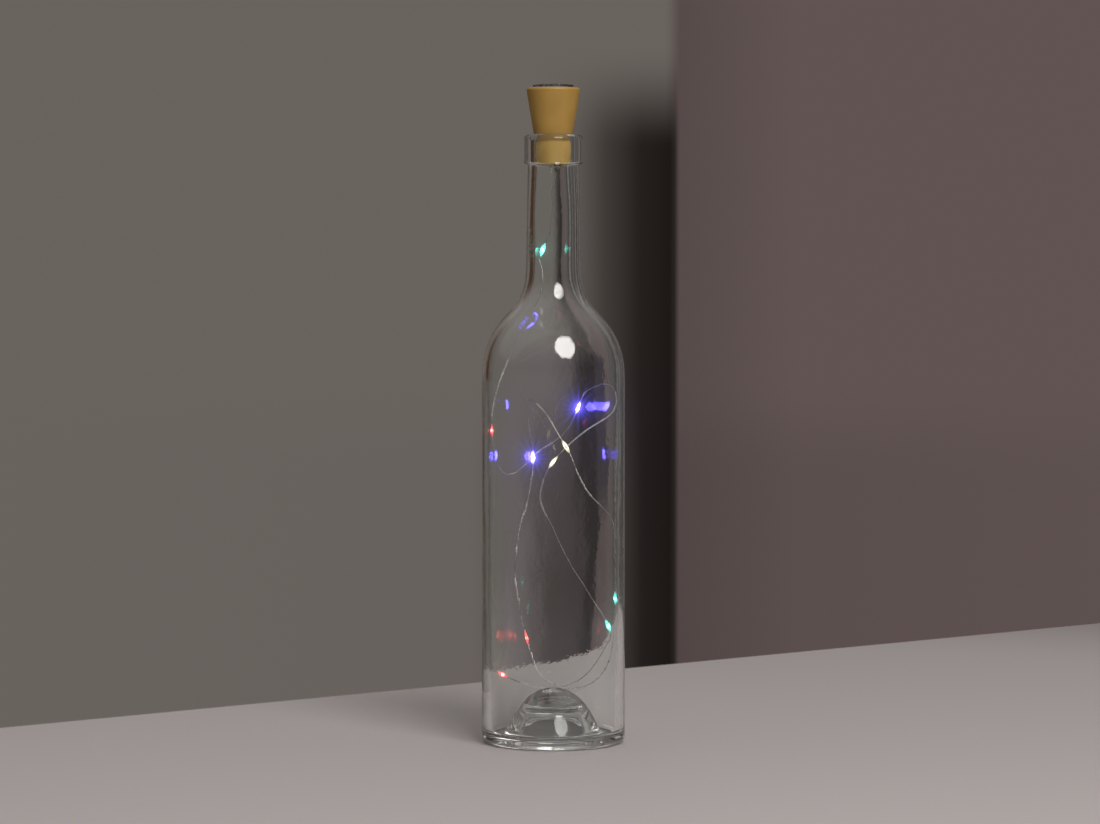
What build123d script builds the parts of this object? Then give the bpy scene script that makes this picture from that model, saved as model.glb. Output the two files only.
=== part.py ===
"""Cork bottle light: a clear glass wine bottle closed by a cork-shaped solar stopper, with a fairy-light string in it.

Millimetres, +Z up. The origin is the middle of the bottle's footprint, on the surface that it stands on.
The bottle is one piece of glass. The stopper is two glued mouldings with a solar panel on top and the cells,
the control board and a slide switch inside. The string leaves a gland under the stopper and lies loose in the bottle.
"""

import math
import os

from build123d import *

os.makedirs("parts", exist_ok=True)

# ---------------------------------------------------------------- driving dimensions

# bottle, outside
BODY_R = 37.25
HEEL_R = 3.4
RING_IN_R = 30.2  # inner edge of the standing ring
SHOULDER_Z, SHOULDER_R = 191.5, 43.0  # start of the shoulder and its radius
ROOT_R = 29.0  # radius of the curve from shoulder to neck
NECK_ROOT_R = 14.35  # neck radius where that curve ends
NECK_TOP_R = 13.4
LIP_R, LIP_BOTTOM, LIP_TOP = 15.35, 300.2, 315.5
# The punt under the base and the dome over it are bells: height and radius of the top, slope where it turns over, radius of that turn, slope of the flank.
PUNT = (18.7, 32.0, 25.0, 3.5, 78.0)
DOME = (27.8, 20.0, 45.0, 43.0, 70.0)

# bottle, inside
WALL = 3.1
BORE_R = 9.3  # mouth
BORE_END = 297.0
NECK_IN_R = 10.35
NECK_IN_TOP = 276.0
FLOOR_Z = 4.0  # groove round the dome
TAPER_Z, FOOT_IN_R = 68.0, 32.36  # the wall thickens from that height down to the floor

# stopper
SEAT_Z = LIP_TOP + 0.1  # underside of the cap, resting on the lip
CAP_BOTTOM_R, CAP_TOP_R, CAP_TOP = 10.1, 14.05, 339.5
PLUG_TOP_R, PLUG_BOTTOM_R, PLUG_BOTTOM = 9.15, 9.05, 301.0
PLUG_IN_R = 7.6
GROOVE_R, GROOVE_BOTTOM, GROOVE_TOP = 8.35, 311.9, 315.1  # relief round the plug under the cap
DECK_Z = 314.2  # underside of the deck between plug and cap
SPIGOT_R, SPIGOT_IN_R, SPIGOT_TOP = 8.5, 7.3, 319.9
SOCKET_R, SOCKET_TOP = 8.55, 320.0
CAVITY_R = 8.2
BOARD_Z, BOARD_T, BOARD_R = 330.5, 1.0, 8.9
WELL_R0, WELL_R1 = 9.05, 9.6  # cavity above the board's ledge
PANEL_LEDGE = 337.9
RECESS_R = 10.8
END_CAP_R, END_CAP_T = 8.05, 1.6

# solar panel
PANEL_R = 10.65
SEAL_T, PANEL_BOARD_T, CELL_T, BAR_T = 0.5, 1.0, 0.2, 0.1
PANEL_TOP = 341.0

# button cells
CELL_R, CELL_H = 5.8, 5.35
TAB_T = 0.2

# slide switch and gland under the plug
SWITCH_Y = 4.2
SLIDER_X = 1.0  # lit position
GLAND = (1.6, -2.6)
GLAND_TIP = 296.1
LEAD_D = 0.6

# light string
WIRE_D = 0.55
LAMP_R, LAMP_L = 1.1, 7.4
CHIP = (1.2, 0.8, 0.5)


def save(block, name):
    block.part.label = name
    export_step(block.part, f"parts/{name}.step")
    print(f"{name:20s} solids {len(block.part.solids()):3d}  volume {block.part.volume:10.2f} mm3  valid {block.part.is_valid}")


# ---------------------------------------------------------------- bottle

# Outer shoulder: an arc tangent to the body, then a reverse arc tangent to the neck.
c1 = (BODY_R - SHOULDER_R, SHOULDER_Z)
c2x = NECK_ROOT_R + ROOT_R
c2 = (c2x, c1[1] + math.sqrt((SHOULDER_R + ROOT_R) ** 2 - (c2x - c1[0]) ** 2))
meet = (
    c1[0] + (c2[0] - c1[0]) * SHOULDER_R / (SHOULDER_R + ROOT_R),
    c1[1] + (c2[1] - c1[1]) * SHOULDER_R / (SHOULDER_R + ROOT_R),
)
# Inner shoulder, with the same two centres' layout but its own radii, so that the wall thickens into the neck.
IN_R = BODY_R - WALL
s1, s2 = SHOULDER_R - WALL, ROOT_R + WALL
d1 = (IN_R - s1, SHOULDER_Z)
d2x = NECK_IN_R + s2
d2 = (d2x, d1[1] + math.sqrt((s1 + s2) ** 2 - (d2x - d1[0]) ** 2))
meet_in = (
    d1[0] + (d2[0] - d1[0]) * s1 / (s1 + s2),
    d1[1] + (d2[1] - d1[1]) * s1 / (s1 + s2),
)


def on_arc(centre, radius, a, b):
    """The middle point of the short arc from a to b."""
    mx, my = (a[0] + b[0]) / 2 - centre[0], (a[1] + b[1]) / 2 - centre[1]
    k = radius / math.hypot(mx, my)
    return (centre[0] + mx * k, centre[1] + my * k)


def bell(shape, z):
    """Outline of a bell down to height z: three points of its top arc, three of the arc that turns over, and its foot."""
    top, radius, turn, corner, flank = shape
    a, b = math.radians(turn), math.radians(flank)
    cap = [(radius * math.sin(t), top - radius * (1 - math.cos(t))) for t in (0, a / 2, a)]
    centre = (cap[2][0] - corner * math.sin(a), cap[2][1] - corner * math.cos(a))
    bend = [(centre[0] + corner * math.sin(t), centre[1] + corner * math.cos(t)) for t in (a, (a + b) / 2, b)]
    return cap, bend, (bend[2][0] + (bend[2][1] - z) / math.tan(b), z)


punt_cap, punt_bend, punt_foot = bell(PUNT, 1.3)
dome_cap, dome_bend, dome_foot = bell(DOME, FLOOR_Z)
LIP_EDGE, LIP_UNDER, MOUTH_EDGE = 2.8, 1.2, 0.6
with BuildPart() as bottle:
    with BuildSketch(Plane.XZ) as profile:
        with BuildLine():
            # underside: punt, standing ring, heel
            ThreePointArc(*punt_cap)
            ThreePointArc(*punt_bend)
            Polyline(punt_bend[2], punt_foot, (RING_IN_R, 0), (BODY_R - HEEL_R, 0))
            TangentArc((BODY_R - HEEL_R, 0), (BODY_R, HEEL_R), tangent=(1, 0))
            # body, shoulder, neck
            Line((BODY_R, HEEL_R), (BODY_R, SHOULDER_Z))
            ThreePointArc((BODY_R, SHOULDER_Z), on_arc(c1, SHOULDER_R, (BODY_R, SHOULDER_Z), meet), meet)
            ThreePointArc(meet, on_arc(c2, ROOT_R, meet, (NECK_ROOT_R, c2[1])), (NECK_ROOT_R, c2[1]))
            Line((NECK_ROOT_R, c2[1]), (NECK_TOP_R, LIP_BOTTOM - 0.8))
            # lip ring with rounded edges
            TangentArc((NECK_TOP_R, LIP_BOTTOM - 0.8), (NECK_TOP_R + 0.8, LIP_BOTTOM), tangent=(0, 1))
            TangentArc((NECK_TOP_R + 0.8, LIP_BOTTOM), (LIP_R, LIP_BOTTOM + LIP_UNDER), tangent=(1, 0.05))
            Line((LIP_R, LIP_BOTTOM + LIP_UNDER), (LIP_R, LIP_TOP - LIP_EDGE))
            TangentArc((LIP_R, LIP_TOP - LIP_EDGE), (LIP_R - LIP_EDGE, LIP_TOP), tangent=(0, 1))
            Line((LIP_R - LIP_EDGE, LIP_TOP), (BORE_R + MOUTH_EDGE, LIP_TOP))
            TangentArc((BORE_R + MOUTH_EDGE, LIP_TOP), (BORE_R, LIP_TOP - MOUTH_EDGE), tangent=(-1, 0))
            # bore, neck and shoulder inside
            Line((BORE_R, LIP_TOP - MOUTH_EDGE), (BORE_R, BORE_END))
            Line((BORE_R, BORE_END), (NECK_IN_R - 0.05, NECK_IN_TOP))
            Line((NECK_IN_R - 0.05, NECK_IN_TOP), (NECK_IN_R, d2[1]))
            ThreePointArc((NECK_IN_R, d2[1]), on_arc(d2, s2, (NECK_IN_R, d2[1]), meet_in), meet_in)
            ThreePointArc(meet_in, on_arc(d1, s1, meet_in, (IN_R, SHOULDER_Z)), (IN_R, SHOULDER_Z))
            # inner wall, floor groove and dome over the punt
            Polyline((IN_R, SHOULDER_Z), (IN_R, TAPER_Z), (FOOT_IN_R, FLOOR_Z), dome_foot, dome_bend[2])
            ThreePointArc(*reversed(dome_bend))
            ThreePointArc(*reversed(dome_cap))
            Line(dome_cap[0], punt_cap[0])
        make_face()
        for corner, radius in ((punt_foot, 5.0), ((RING_IN_R, 0), 2.0), ((FOOT_IN_R, FLOOR_Z), 4.0), (dome_foot, 2.5)):
            fillet(profile.vertices().sort_by_distance((corner[0], corner[1], 0))[0], radius)
    revolve(axis=Axis.Z)
save(bottle, "bottle")

# ---------------------------------------------------------------- stopper mouldings

with BuildPart() as stopper_cap:
    with BuildSketch(Plane.XZ):
        with BuildLine():
            Polyline(
                (SOCKET_R, SEAT_Z), (CAP_BOTTOM_R, SEAT_Z), (CAP_TOP_R, CAP_TOP), (RECESS_R, CAP_TOP), (RECESS_R, PANEL_LEDGE),
                (WELL_R1, PANEL_LEDGE), (WELL_R0, BOARD_Z), (CAVITY_R, BOARD_Z), (CAVITY_R, SOCKET_TOP), (SOCKET_R, SOCKET_TOP),
                close=True,
            )
        make_face()
    revolve(axis=Axis.Z)
    rim = stopper_cap.edges().filter_by(GeomType.CIRCLE).sort_by(lambda e: e.radius)[-1]
    fillet(rim, 1.2)
    foot = [e for e in stopper_cap.edges().filter_by(GeomType.CIRCLE) if abs(e.radius - CAP_BOTTOM_R) < 1e-3]
    fillet(foot, 0.25)
save(stopper_cap, "stopper_cap")

# Angles round the deck where the string and switch leads pass it, beside the cells.
PASS_R = 6.65
STRING_ANGLES, SWITCH_ANGLES = (-62.0, -98.0), (62.0, 118.0)


def around(angle, radius, z):
    a = math.radians(angle)
    return (radius * math.cos(a), radius * math.sin(a), z)


with BuildPart() as plug_shell:
    with BuildSketch(Plane.XZ):
        with BuildLine():
            Polyline(
                (0, DECK_Z), (PLUG_IN_R, DECK_Z), (PLUG_IN_R, PLUG_BOTTOM + END_CAP_T), (END_CAP_R + 0.03, PLUG_BOTTOM + END_CAP_T),
                (END_CAP_R + 0.03, PLUG_BOTTOM), (PLUG_BOTTOM_R, PLUG_BOTTOM), (PLUG_TOP_R, GROOVE_BOTTOM - 0.3), (PLUG_TOP_R - 0.3, GROOVE_BOTTOM),
                (GROOVE_R, GROOVE_BOTTOM), (GROOVE_R, GROOVE_TOP), (PLUG_TOP_R, GROOVE_TOP), (PLUG_TOP_R, SEAT_Z), (SPIGOT_R, SEAT_Z),
                (SPIGOT_R, SPIGOT_TOP), (SPIGOT_IN_R, SPIGOT_TOP), (SPIGOT_IN_R, SEAT_Z), (0, SEAT_Z),
                close=True,
            )
        make_face()
    revolve(axis=Axis.Z)
    nose = [e for e in plug_shell.edges().filter_by(GeomType.CIRCLE) if abs(e.radius - PLUG_BOTTOM_R) < 1e-3]
    fillet(nose, 0.6)
    with BuildSketch(Plane.XY.offset(DECK_Z)):
        for angle in STRING_ANGLES + SWITCH_ANGLES:
            with Locations(around(angle, PASS_R, 0)[:2]):
                Circle(LEAD_D / 2 + 0.12)
    extrude(amount=SEAT_Z - DECK_Z, mode=Mode.SUBTRACT)
save(plug_shell, "plug_shell")

with BuildPart() as plug_end_cap:
    with BuildSketch(Plane.XY.offset(PLUG_BOTTOM)):
        Circle(END_CAP_R)
        with Locations(GLAND):
            Circle(2.0, mode=Mode.SUBTRACT)
        with Locations((0, SWITCH_Y)):
            SlotOverall(4.2, 1.8, mode=Mode.SUBTRACT)
    extrude(amount=END_CAP_T)
save(plug_end_cap, "plug_end_cap")

# Gland: a collar inside, a stem through the end cap, a flange under it and a tapered nipple round the wire.
with BuildPart() as wire_gland:
    with BuildSketch(Plane(origin=(GLAND[0], GLAND[1], 0), x_dir=(1, 0, 0), z_dir=(0, -1, 0))):
        with BuildLine():
            top = PLUG_BOTTOM + END_CAP_T
            Polyline(
                (0, GLAND_TIP), (0.55, GLAND_TIP), (0.8, GLAND_TIP + 0.5), (1.9, 298.5), (3.3, 298.5), (3.3, 299.2), (2.85, 299.3),
                (2.85, PLUG_BOTTOM), (1.95, PLUG_BOTTOM), (1.95, top), (2.5, top), (2.5, top + 0.9), (0, top + 0.9),
                close=True,
            )
        make_face()
    revolve(axis=Axis((GLAND[0], GLAND[1], 0), (0, 0, 1)))
    flange = [e for e in wire_gland.edges().filter_by(GeomType.CIRCLE) if abs(e.radius - 3.3) < 1e-3]
    fillet(flange, 0.2)
    with BuildSketch(Plane.XY.offset(top + 0.9)):
        with Locations((GLAND[0] - 0.5, GLAND[1]), (GLAND[0] + 0.5, GLAND[1])):
            Circle(LEAD_D / 2 + 0.03)
    extrude(amount=-3.0, mode=Mode.SUBTRACT)
save(wire_gland, "wire_gland")

# ---------------------------------------------------------------- solar panel

panel_0 = PANEL_LEDGE + SEAL_T
panel_1 = panel_0 + PANEL_BOARD_T
cell_1 = panel_1 + CELL_T

with BuildPart() as panel_seal:
    with BuildSketch(Plane.XY.offset(PANEL_LEDGE)):
        Circle(RECESS_R - 0.2)
        Circle(WELL_R1 + 0.05, mode=Mode.SUBTRACT)
    extrude(amount=SEAL_T)
save(panel_seal, "panel_seal")

with BuildPart() as solar_board:
    with BuildSketch(Plane.XY.offset(panel_0)):
        Circle(PANEL_R)
    extrude(amount=PANEL_BOARD_T)
save(solar_board, "solar_board")

# Four strips of silicon, cut to the round of the panel.
STRIP_W, STRIP_PITCH, STRIP_FIELD_R = 4.3, 4.6, 9.7
STRIPS = [(k - 1.5) * STRIP_PITCH for k in range(4)]
with BuildPart() as solar_cells:
    with BuildSketch(Plane.XY.offset(panel_1)):
        Circle(STRIP_FIELD_R)
        for gap in (-STRIP_PITCH, 0, STRIP_PITCH):
            with Locations((gap, 0)):
                Rectangle(STRIP_PITCH - STRIP_W, 24, mode=Mode.SUBTRACT)
    extrude(amount=CELL_T)
save(solar_cells, "solar_cells")

# Tinned ribbons, one along each strip.
with BuildPart() as solar_busbars:
    with BuildSketch(Plane.XY.offset(cell_1)):
        for x in STRIPS:
            half = math.sqrt(STRIP_FIELD_R**2 - (abs(x) + 0.5) ** 2) - 0.5
            with Locations((x, 0)):
                Rectangle(0.5, 2 * half)
    extrude(amount=BAR_T)
save(solar_busbars, "solar_busbars")

with BuildPart() as solar_resin:
    with BuildSketch(Plane.XY.offset(panel_1)):
        Circle(PANEL_R)
    extrude(amount=PANEL_TOP - panel_1)
    fillet(solar_resin.edges().group_by(Axis.Z)[-1], 0.45)
    add(solar_cells.part, mode=Mode.SUBTRACT)
    add(solar_busbars.part, mode=Mode.SUBTRACT)
save(solar_resin, "solar_resin")

# ---------------------------------------------------------------- electronics inside

with BuildPart() as control_board:
    with BuildSketch(Plane.XY.offset(BOARD_Z)):
        Circle(BOARD_R)
        with Locations((0, BOARD_R)):
            Rectangle(2.0, 1.2, mode=Mode.SUBTRACT)  # moulding key
    extrude(amount=BOARD_T)
save(control_board, "control_board")

board_top = BOARD_Z + BOARD_T
with BuildPart() as driver_chip:
    with BuildSketch(Plane.XY.offset(board_top + 0.4)):
        with Locations((-4.2, 0)):
            Rectangle(3.9, 4.9)
    extrude(amount=1.4)
    chamfer(driver_chip.edges().group_by(Axis.Z)[-1], 0.2)
save(driver_chip, "driver_chip")

# Gull-wing legs, four a side, standing on the board beside the chip.
with BuildPart() as chip_legs:
    for side in (-1, 1):
        for k in range(4):
            y = (k - 1.5) * 1.1
            x0 = -4.2 + side * 1.95
            with BuildSketch(Plane(origin=(x0, y - 0.2, 0), x_dir=(side, 0, 0), z_dir=(0, -side, 0))):
                with BuildLine():
                    Polyline(
                        (0, board_top + 0.95), (0.5, board_top + 0.95), (0.5, board_top + 0.2), (1.1, board_top + 0.2), (1.1, board_top),
                        (0.3, board_top), (0.3, board_top + 0.75), (0, board_top + 0.75),
                        close=True,
                    )
                make_face()
            extrude(amount=-0.4 * side)
save(chip_legs, "chip_legs")

CHOKE = (4.3, 0.0)
with BuildPart() as inductor_core:
    with BuildSketch(Plane(origin=(CHOKE[0], CHOKE[1], 0), x_dir=(1, 0, 0), z_dir=(0, -1, 0))):
        with BuildLine():
            Polyline(
                (0, board_top), (2.6, board_top), (2.6, board_top + 0.8), (1.2, board_top + 0.8), (1.2, board_top + 3.4),
                (2.6, board_top + 3.4), (2.6, board_top + 4.2), (0, board_top + 4.2),
                close=True,
            )
        make_face()
    revolve(axis=Axis((CHOKE[0], CHOKE[1], 0), (0, 0, 1)))
save(inductor_core, "inductor_core")

with BuildPart() as inductor_winding:
    with BuildSketch(Plane.XY.offset(board_top + 0.85)):
        with Locations(CHOKE):
            Circle(2.25)
            Circle(1.22, mode=Mode.SUBTRACT)
    extrude(amount=2.5)
save(inductor_winding, "inductor_winding")

with BuildPart() as chip_resistors:
    with BuildSketch(Plane.XY.offset(board_top)):
        with Locations((-1.5, 5.0), (1.8, 5.6), (-1.2, -5.4)):
            Rectangle(2.0, 1.25)
    extrude(amount=0.55)
save(chip_resistors, "chip_resistors")

# Two button cells in a shrink sleeve, standing on the deck.
tab_0 = SEAT_Z
cells_0 = tab_0 + TAB_T
cells_1 = cells_0 + 2 * CELL_H
with BuildPart() as battery_cells:
    for k in range(2):
        z = cells_0 + k * CELL_H
        with BuildSketch(Plane.XY.offset(z)):
            Circle(CELL_R)
        extrude(amount=CELL_H - 0.5)
        with BuildSketch(Plane.XY.offset(z + CELL_H - 0.5)):
            Circle(4.2)
        extrude(amount=0.5 - (0.02 if k == 0 else 0.0))
save(battery_cells, "battery_cells")

with BuildPart() as battery_sleeve:
    with BuildSketch(Plane.XY.offset(cells_0)):
        Circle(CELL_R + 0.2)
        Circle(CELL_R + 0.05, mode=Mode.SUBTRACT)
    extrude(amount=2 * CELL_H - 0.5)
save(battery_sleeve, "battery_sleeve")

with BuildPart() as battery_tabs:
    with BuildSketch(Plane.XY.offset(tab_0)):
        with Locations((2.2, 0)):
            Rectangle(9.4, 3.0)
    extrude(amount=TAB_T)
    with BuildSketch(Plane.XY.offset(cells_1)):
        with Locations((-1.6, 0)):
            Rectangle(7.0, 3.0)
    extrude(amount=TAB_T)
save(battery_tabs, "battery_tabs")

# ---------------------------------------------------------------- slide switch

case_0 = PLUG_BOTTOM + END_CAP_T
with BuildPart() as switch_case:
    with BuildSketch(Plane.XY.offset(case_0)):
        with Locations((0, SWITCH_Y)):
            Rectangle(7.0, 3.2)
    extrude(amount=2.6)
    with BuildSketch(Plane.XY.offset(case_0)):
        with Locations((0, SWITCH_Y)):
            Rectangle(4.4, 1.9, mode=Mode.ADD)
    extrude(amount=1.6, mode=Mode.SUBTRACT)
save(switch_case, "switch_case")

with BuildPart() as switch_slider:
    with BuildSketch(Plane.XY.offset(PLUG_BOTTOM - 1.25)):
        with Locations((SLIDER_X, SWITCH_Y)):
            RectangleRounded(2.8, 2.2, 0.3)
    extrude(amount=1.1)
    with BuildSketch(Plane.XY.offset(PLUG_BOTTOM - 1.25)):
        with Locations(*[(SLIDER_X + dx, SWITCH_Y) for dx in (-0.8, 0, 0.8)]):
            Rectangle(0.3, 3.0)
    extrude(amount=0.3, mode=Mode.SUBTRACT)  # thumb ribs
    with BuildSketch(Plane.XY.offset(PLUG_BOTTOM - 0.15)):
        with Locations((SLIDER_X, SWITCH_Y)):
            Rectangle(1.6, 1.4)
    extrude(amount=0.15 + END_CAP_T + 1.4)
save(switch_slider, "switch_slider")

TERMINALS = (-2.4, 0.0, 2.4)
with BuildPart() as switch_terminals:
    with BuildSketch(Plane.XY.offset(case_0 + 2.6)):
        with Locations(*[(x, SWITCH_Y) for x in TERMINALS]):
            Rectangle(0.7, 0.3)
    extrude(amount=1.8)
save(switch_terminals, "switch_terminals")


# ---------------------------------------------------------------- wires


def corner_radii(points):
    """For each inner point, the largest arc that its two runs leave room for."""
    found = []
    for a, b, c in zip(points, points[1:], points[2:]):
        u, v = Vector(b) - Vector(a), Vector(c) - Vector(b)
        found.append(0.45 * min(u.length, v.length) / math.tan(math.radians(u.get_angle(v)) / 2))
    return found


def compare(name, block, path, diameter):
    want = math.pi * diameter**2 / 4 * path.wire().length
    print(f"{name}: length {path.wire().length:.1f}, volume {block.part.volume:.3f} against section x length {want:.3f}")


# Insulated leads inside the stopper.
panel_under = panel_0
LEADS = {
    "panel_lead_red": [(5.4, 6.0, panel_under), (5.4, 6.0, 336.6), (4.3, 6.9, 334.4), (4.9, 5.9, 332.6), (4.9, 5.9, board_top)],
    "panel_lead_black": [(5.2, -6.2, panel_under), (5.2, -6.2, 336.4), (4.0, -7.0, 334.2), (4.4, -6.0, 332.6), (4.4, -6.0, board_top)],
    "battery_lead_red": [(-4.3, 0.0, cells_1 + TAB_T), (-4.3, 0.0, 327.9), (-5.0, 1.0, 329.2), (-5.0, 1.0, BOARD_Z)],
    "battery_lead_black": [(6.6, 0.0, tab_0 + TAB_T), (6.6, 0.0, 319.6), (6.75, 0.5, 323.6), (6.6, 0.2, 327.2), (5.9, 0.6, BOARD_Z)],
}
lead_blocks = {}
for lead_name, lead_points in LEADS.items():
    with BuildPart() as lead:
        with BuildLine() as lead_path:
            FilletPolyline(*lead_points, radius=corner_radii(lead_points))
        with BuildSketch(Plane(origin=lead_path.line @ 0, z_dir=lead_path.line % 0)):
            Circle(LEAD_D / 2)
        sweep()
    compare(lead_name, lead, lead_path, LEAD_D)
    save(lead, lead_name)

# From the board down past the cells, through the deck and into the gland.
gland_top = PLUG_BOTTOM + END_CAP_T + 0.9
with BuildPart() as string_leads:
    for angle, dx in zip(STRING_ANGLES, (0.5, -0.5)):
        points = [
            around(angle, PASS_R, BOARD_Z), around(angle, PASS_R, 323.0), around(angle + 2, PASS_R + 0.02, 318.5), around(angle, PASS_R, 315.4),
            around(angle, PASS_R, 313.4), (around(angle, PASS_R, 0)[0] * 0.6 + (GLAND[0] + dx) * 0.4, -5.4, 310.4),
            (GLAND[0] + dx * 1.6, -3.4, 307.6), (GLAND[0] + dx, GLAND[1], 305.2), (GLAND[0] + dx, GLAND[1], gland_top - 2.9),
        ]
        with BuildLine() as lead_path:
            FilletPolyline(*points, radius=corner_radii(points))
        with BuildSketch(Plane(origin=lead_path.line @ 0, z_dir=lead_path.line % 0)):
            Circle(LEAD_D / 2)
        sweep(path=lead_path.wire())
save(string_leads, "string_leads")

# From the board down past the cells, through the deck and to the two switch terminals in use.
with BuildPart() as switch_leads:
    for angle, x in zip(SWITCH_ANGLES, (TERMINALS[2], TERMINALS[1])):
        end = (x, SWITCH_Y, case_0 + 4.4)
        points = [
            around(angle, PASS_R, BOARD_Z), around(angle, PASS_R, 323.0), around(angle + 2, PASS_R + 0.02, 318.5), around(angle, PASS_R, 315.4),
            around(angle, PASS_R, 313.4), (around(angle, PASS_R, 0)[0] * 0.5 + x * 0.5, 5.1, 311.0), (x, SWITCH_Y, 309.2), end,
        ]
        with BuildLine() as lead_path:
            FilletPolyline(*points, radius=corner_radii(points))
        with BuildSketch(Plane(origin=lead_path.line @ 0, z_dir=lead_path.line % 0)):
            Circle(LEAD_D / 2)
        sweep(path=lead_path.wire())
save(switch_leads, "switch_leads")

# Route of the light string, from the gland's tip to its loose end.
ROUTE = [
    (1.6, -2.6, 296.1), (0.9, -2.4, 290.6), (-1.4, -1.4, 284.4), (0.2, 0.8, 277.7), (-1.6, 2.6, 272.0), (-1.2, 4.6, 266.3),
    (-3.8, 6.0, 260.3), (-8.2, 5.0, 250.9), (-6.0, 4.2, 246.0), (-5.7, 3.4, 237.2), (-8.3, 3.2, 227.8), (-12.6, 4.0, 218.4),
    (-19.1, 4.4, 208.5), (-25.1, 4.0, 197.1), (-29.3, 3.0, 185.2), (-32.1, 1.6, 173.8), (-32.4, 0.9, 167.3), (-32.7, 1.6, 157.4),
    (-32.5, 5.6, 150.7), (-30.4, 11.6, 143.0), (-26.3, 16.8, 137.8), (-20.3, 20.6, 138.0), (-13.7, 22.8, 143.8), (-7.0, 23.8, 150.7),
    (-1.6, 24.4, 154.0), (3.3, 24.6, 157.1), (8.1, 24.2, 162.4), (11.4, 23.6, 168.8), (15.1, 26.0, 177.7), (17.8, 27.0, 181.4),
    (21.3, 25.2, 183.7), (24.9, 21.2, 184.8), (28.2, 16.2, 186.3), (31.5, 9.2, 185.1), (32.8, 2.0, 181.5), (32.4, -5.2, 177.7),
    (29.6, -13.4, 171.7), (24.0, -20.6, 168.1), (17.8, -25.6, 164.8), (10.1, -29.0, 158.8), (2.8, -30.6, 151.7), (-3.2, -30.6, 143.7),
    (-5.5, -28.6, 136.8), (-7.0, -25.2, 128.9), (-4.5, -21.8, 121.0), (-0.1, -18.6, 113.5), (3.5, -15.8, 104.0), (9.2, -13.0, 93.0),
    (15.9, -11.0, 82.5), (21.4, -9.9, 73.0), (26.1, -8.8, 66.2), (30.2, -8.1, 55.9), (26.8, -7.4, 50.1), (22.9, -5.4, 42.6),
    (18.1, -2.0, 35.5), (11.3, 3.0, 29.9), (5.0, 9.0, 26.8), (0.1, 14.5, 27.5), (-3.8, 18.5, 28.9), (-8.4, 21.6, 33.9),
    (-11.4, 23.4, 40.8), (-13.2, 24.2, 45.9), (-15.8, 24.2, 55.5), (-17.3, 24.6, 60.9), (-18.5, 25.0, 69.6), (-19.9, 25.2, 77.4),
    (-21.0, 25.2, 84.8), (-20.9, 25.4, 92.2), (-19.4, 26.4, 103.2), (-17.0, 27.6, 113.6), (-13.3, 28.6, 123.5), (-11.5, 30.0, 134.5),
    (-10.8, 30.4, 141.1), (-10.7, 30.4, 151.9), (-11.5, 29.2, 157.3), (-13.4, 25.4, 166.9), (-13.7, 19.0, 174.6), (-11.8, 7.0, 178.9),
    (-8.1, -7.0, 176.5), (-3.2, -18.0, 171.6), (1.1, -23.6, 164.1), (4.1, -26.4, 159.0), (8.5, -27.2, 151.6), (12.4, -28.0, 140.8),
    (17.7, -26.4, 130.5), (25.3, -20.4, 123.4), (30.3, -12.0, 115.3), (32.1, -6.4, 104.8), (32.5, -4.0, 94.7), (32.0, -2.8, 86.6),
    (32.3, -1.6, 80.3), (32.5, -0.4, 69.2), (32.3, 2.2, 61.0), (32.4, 5.6, 50.2), (31.1, 10.5, 40.7), (28.4, 15.2, 33.9),
    (23.5, 18.2, 28.8), (16.7, 20.0, 25.4), (8.8, 20.6, 24.2), (1.4, 20.2, 23.8), (-5.9, 19.0, 25.0), (-13.2, 17.0, 26.3),
    (-18.7, 14.2, 28.8), (-23.1, 11.0, 31.2), (-31.8, 6.6, 35.8),
]
ROUTE_RADII = [None] + corner_radii(ROUTE) + [None]
print("corner radii:", " ".join(f"{r:.1f}" for r in ROUTE_RADII[1:-1]))
print(f"smallest corner radius {min(ROUTE_RADII[1:-1]):.2f}, wire diameter {WIRE_D}")


def middle(i):
    """The middle of the run from point i to the next."""
    return tuple((a + b) / 2 for a, b in zip(ROUTE[i], ROUTE[i + 1]))


# The wire is three nodes: what hangs from the stopper, the span that gives when the stopper is pulled, and what lies in the bottle.
CUT_TOP, CUT_LOW = 7, 12
SPANS = {
    "string_wire_top": (ROUTE[: CUT_TOP + 1] + [middle(CUT_TOP)], ROUTE_RADII[1 : CUT_TOP + 1]),
    "string_wire_neck": (
        [middle(CUT_TOP)] + ROUTE[CUT_TOP + 1 : CUT_LOW + 1] + [middle(CUT_LOW)],
        ROUTE_RADII[CUT_TOP + 1 : CUT_LOW + 1],
    ),
    "string_wire_body": ([middle(CUT_LOW)] + ROUTE[CUT_LOW + 1 :], ROUTE_RADII[CUT_LOW + 1 : -1]),
}
total = 0.0
for span_name, (span_points, span_radii) in SPANS.items():
    with BuildPart() as span:
        with BuildLine() as span_path:
            FilletPolyline(*span_points, radius=span_radii)
        with BuildSketch(Plane(origin=span_path.line @ 0, z_dir=span_path.line % 0)):
            Circle(WIRE_D / 2)
        sweep()
    compare(span_name, span, span_path, WIRE_D)
    total += span_path.wire().length
    save(span, span_name)
print(f"string length {total:.1f}")

# Lamps: a spindle of clear resin round the wire, with a chip beside the wire inside it. Each is centred on a run of the route.
# name of the colour -> [(first point of the run, which way the chip looks)]
TOWARDS, AWAY = Vector(0, -1, 0), Vector(0, 1, 0)
LAMPS = {
    "led_bead_neck": [(6, TOWARDS)],
    "led_beads_red": [(16, TOWARDS), (61, AWAY), (103, TOWARDS)],
    "led_beads_blue": [(27, TOWARDS), (72, TOWARDS)],
    "led_beads_warm": [(40, AWAY), (81, AWAY)],
    "led_beads_green": [(50, TOWARDS), (90, TOWARDS)],
}


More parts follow.
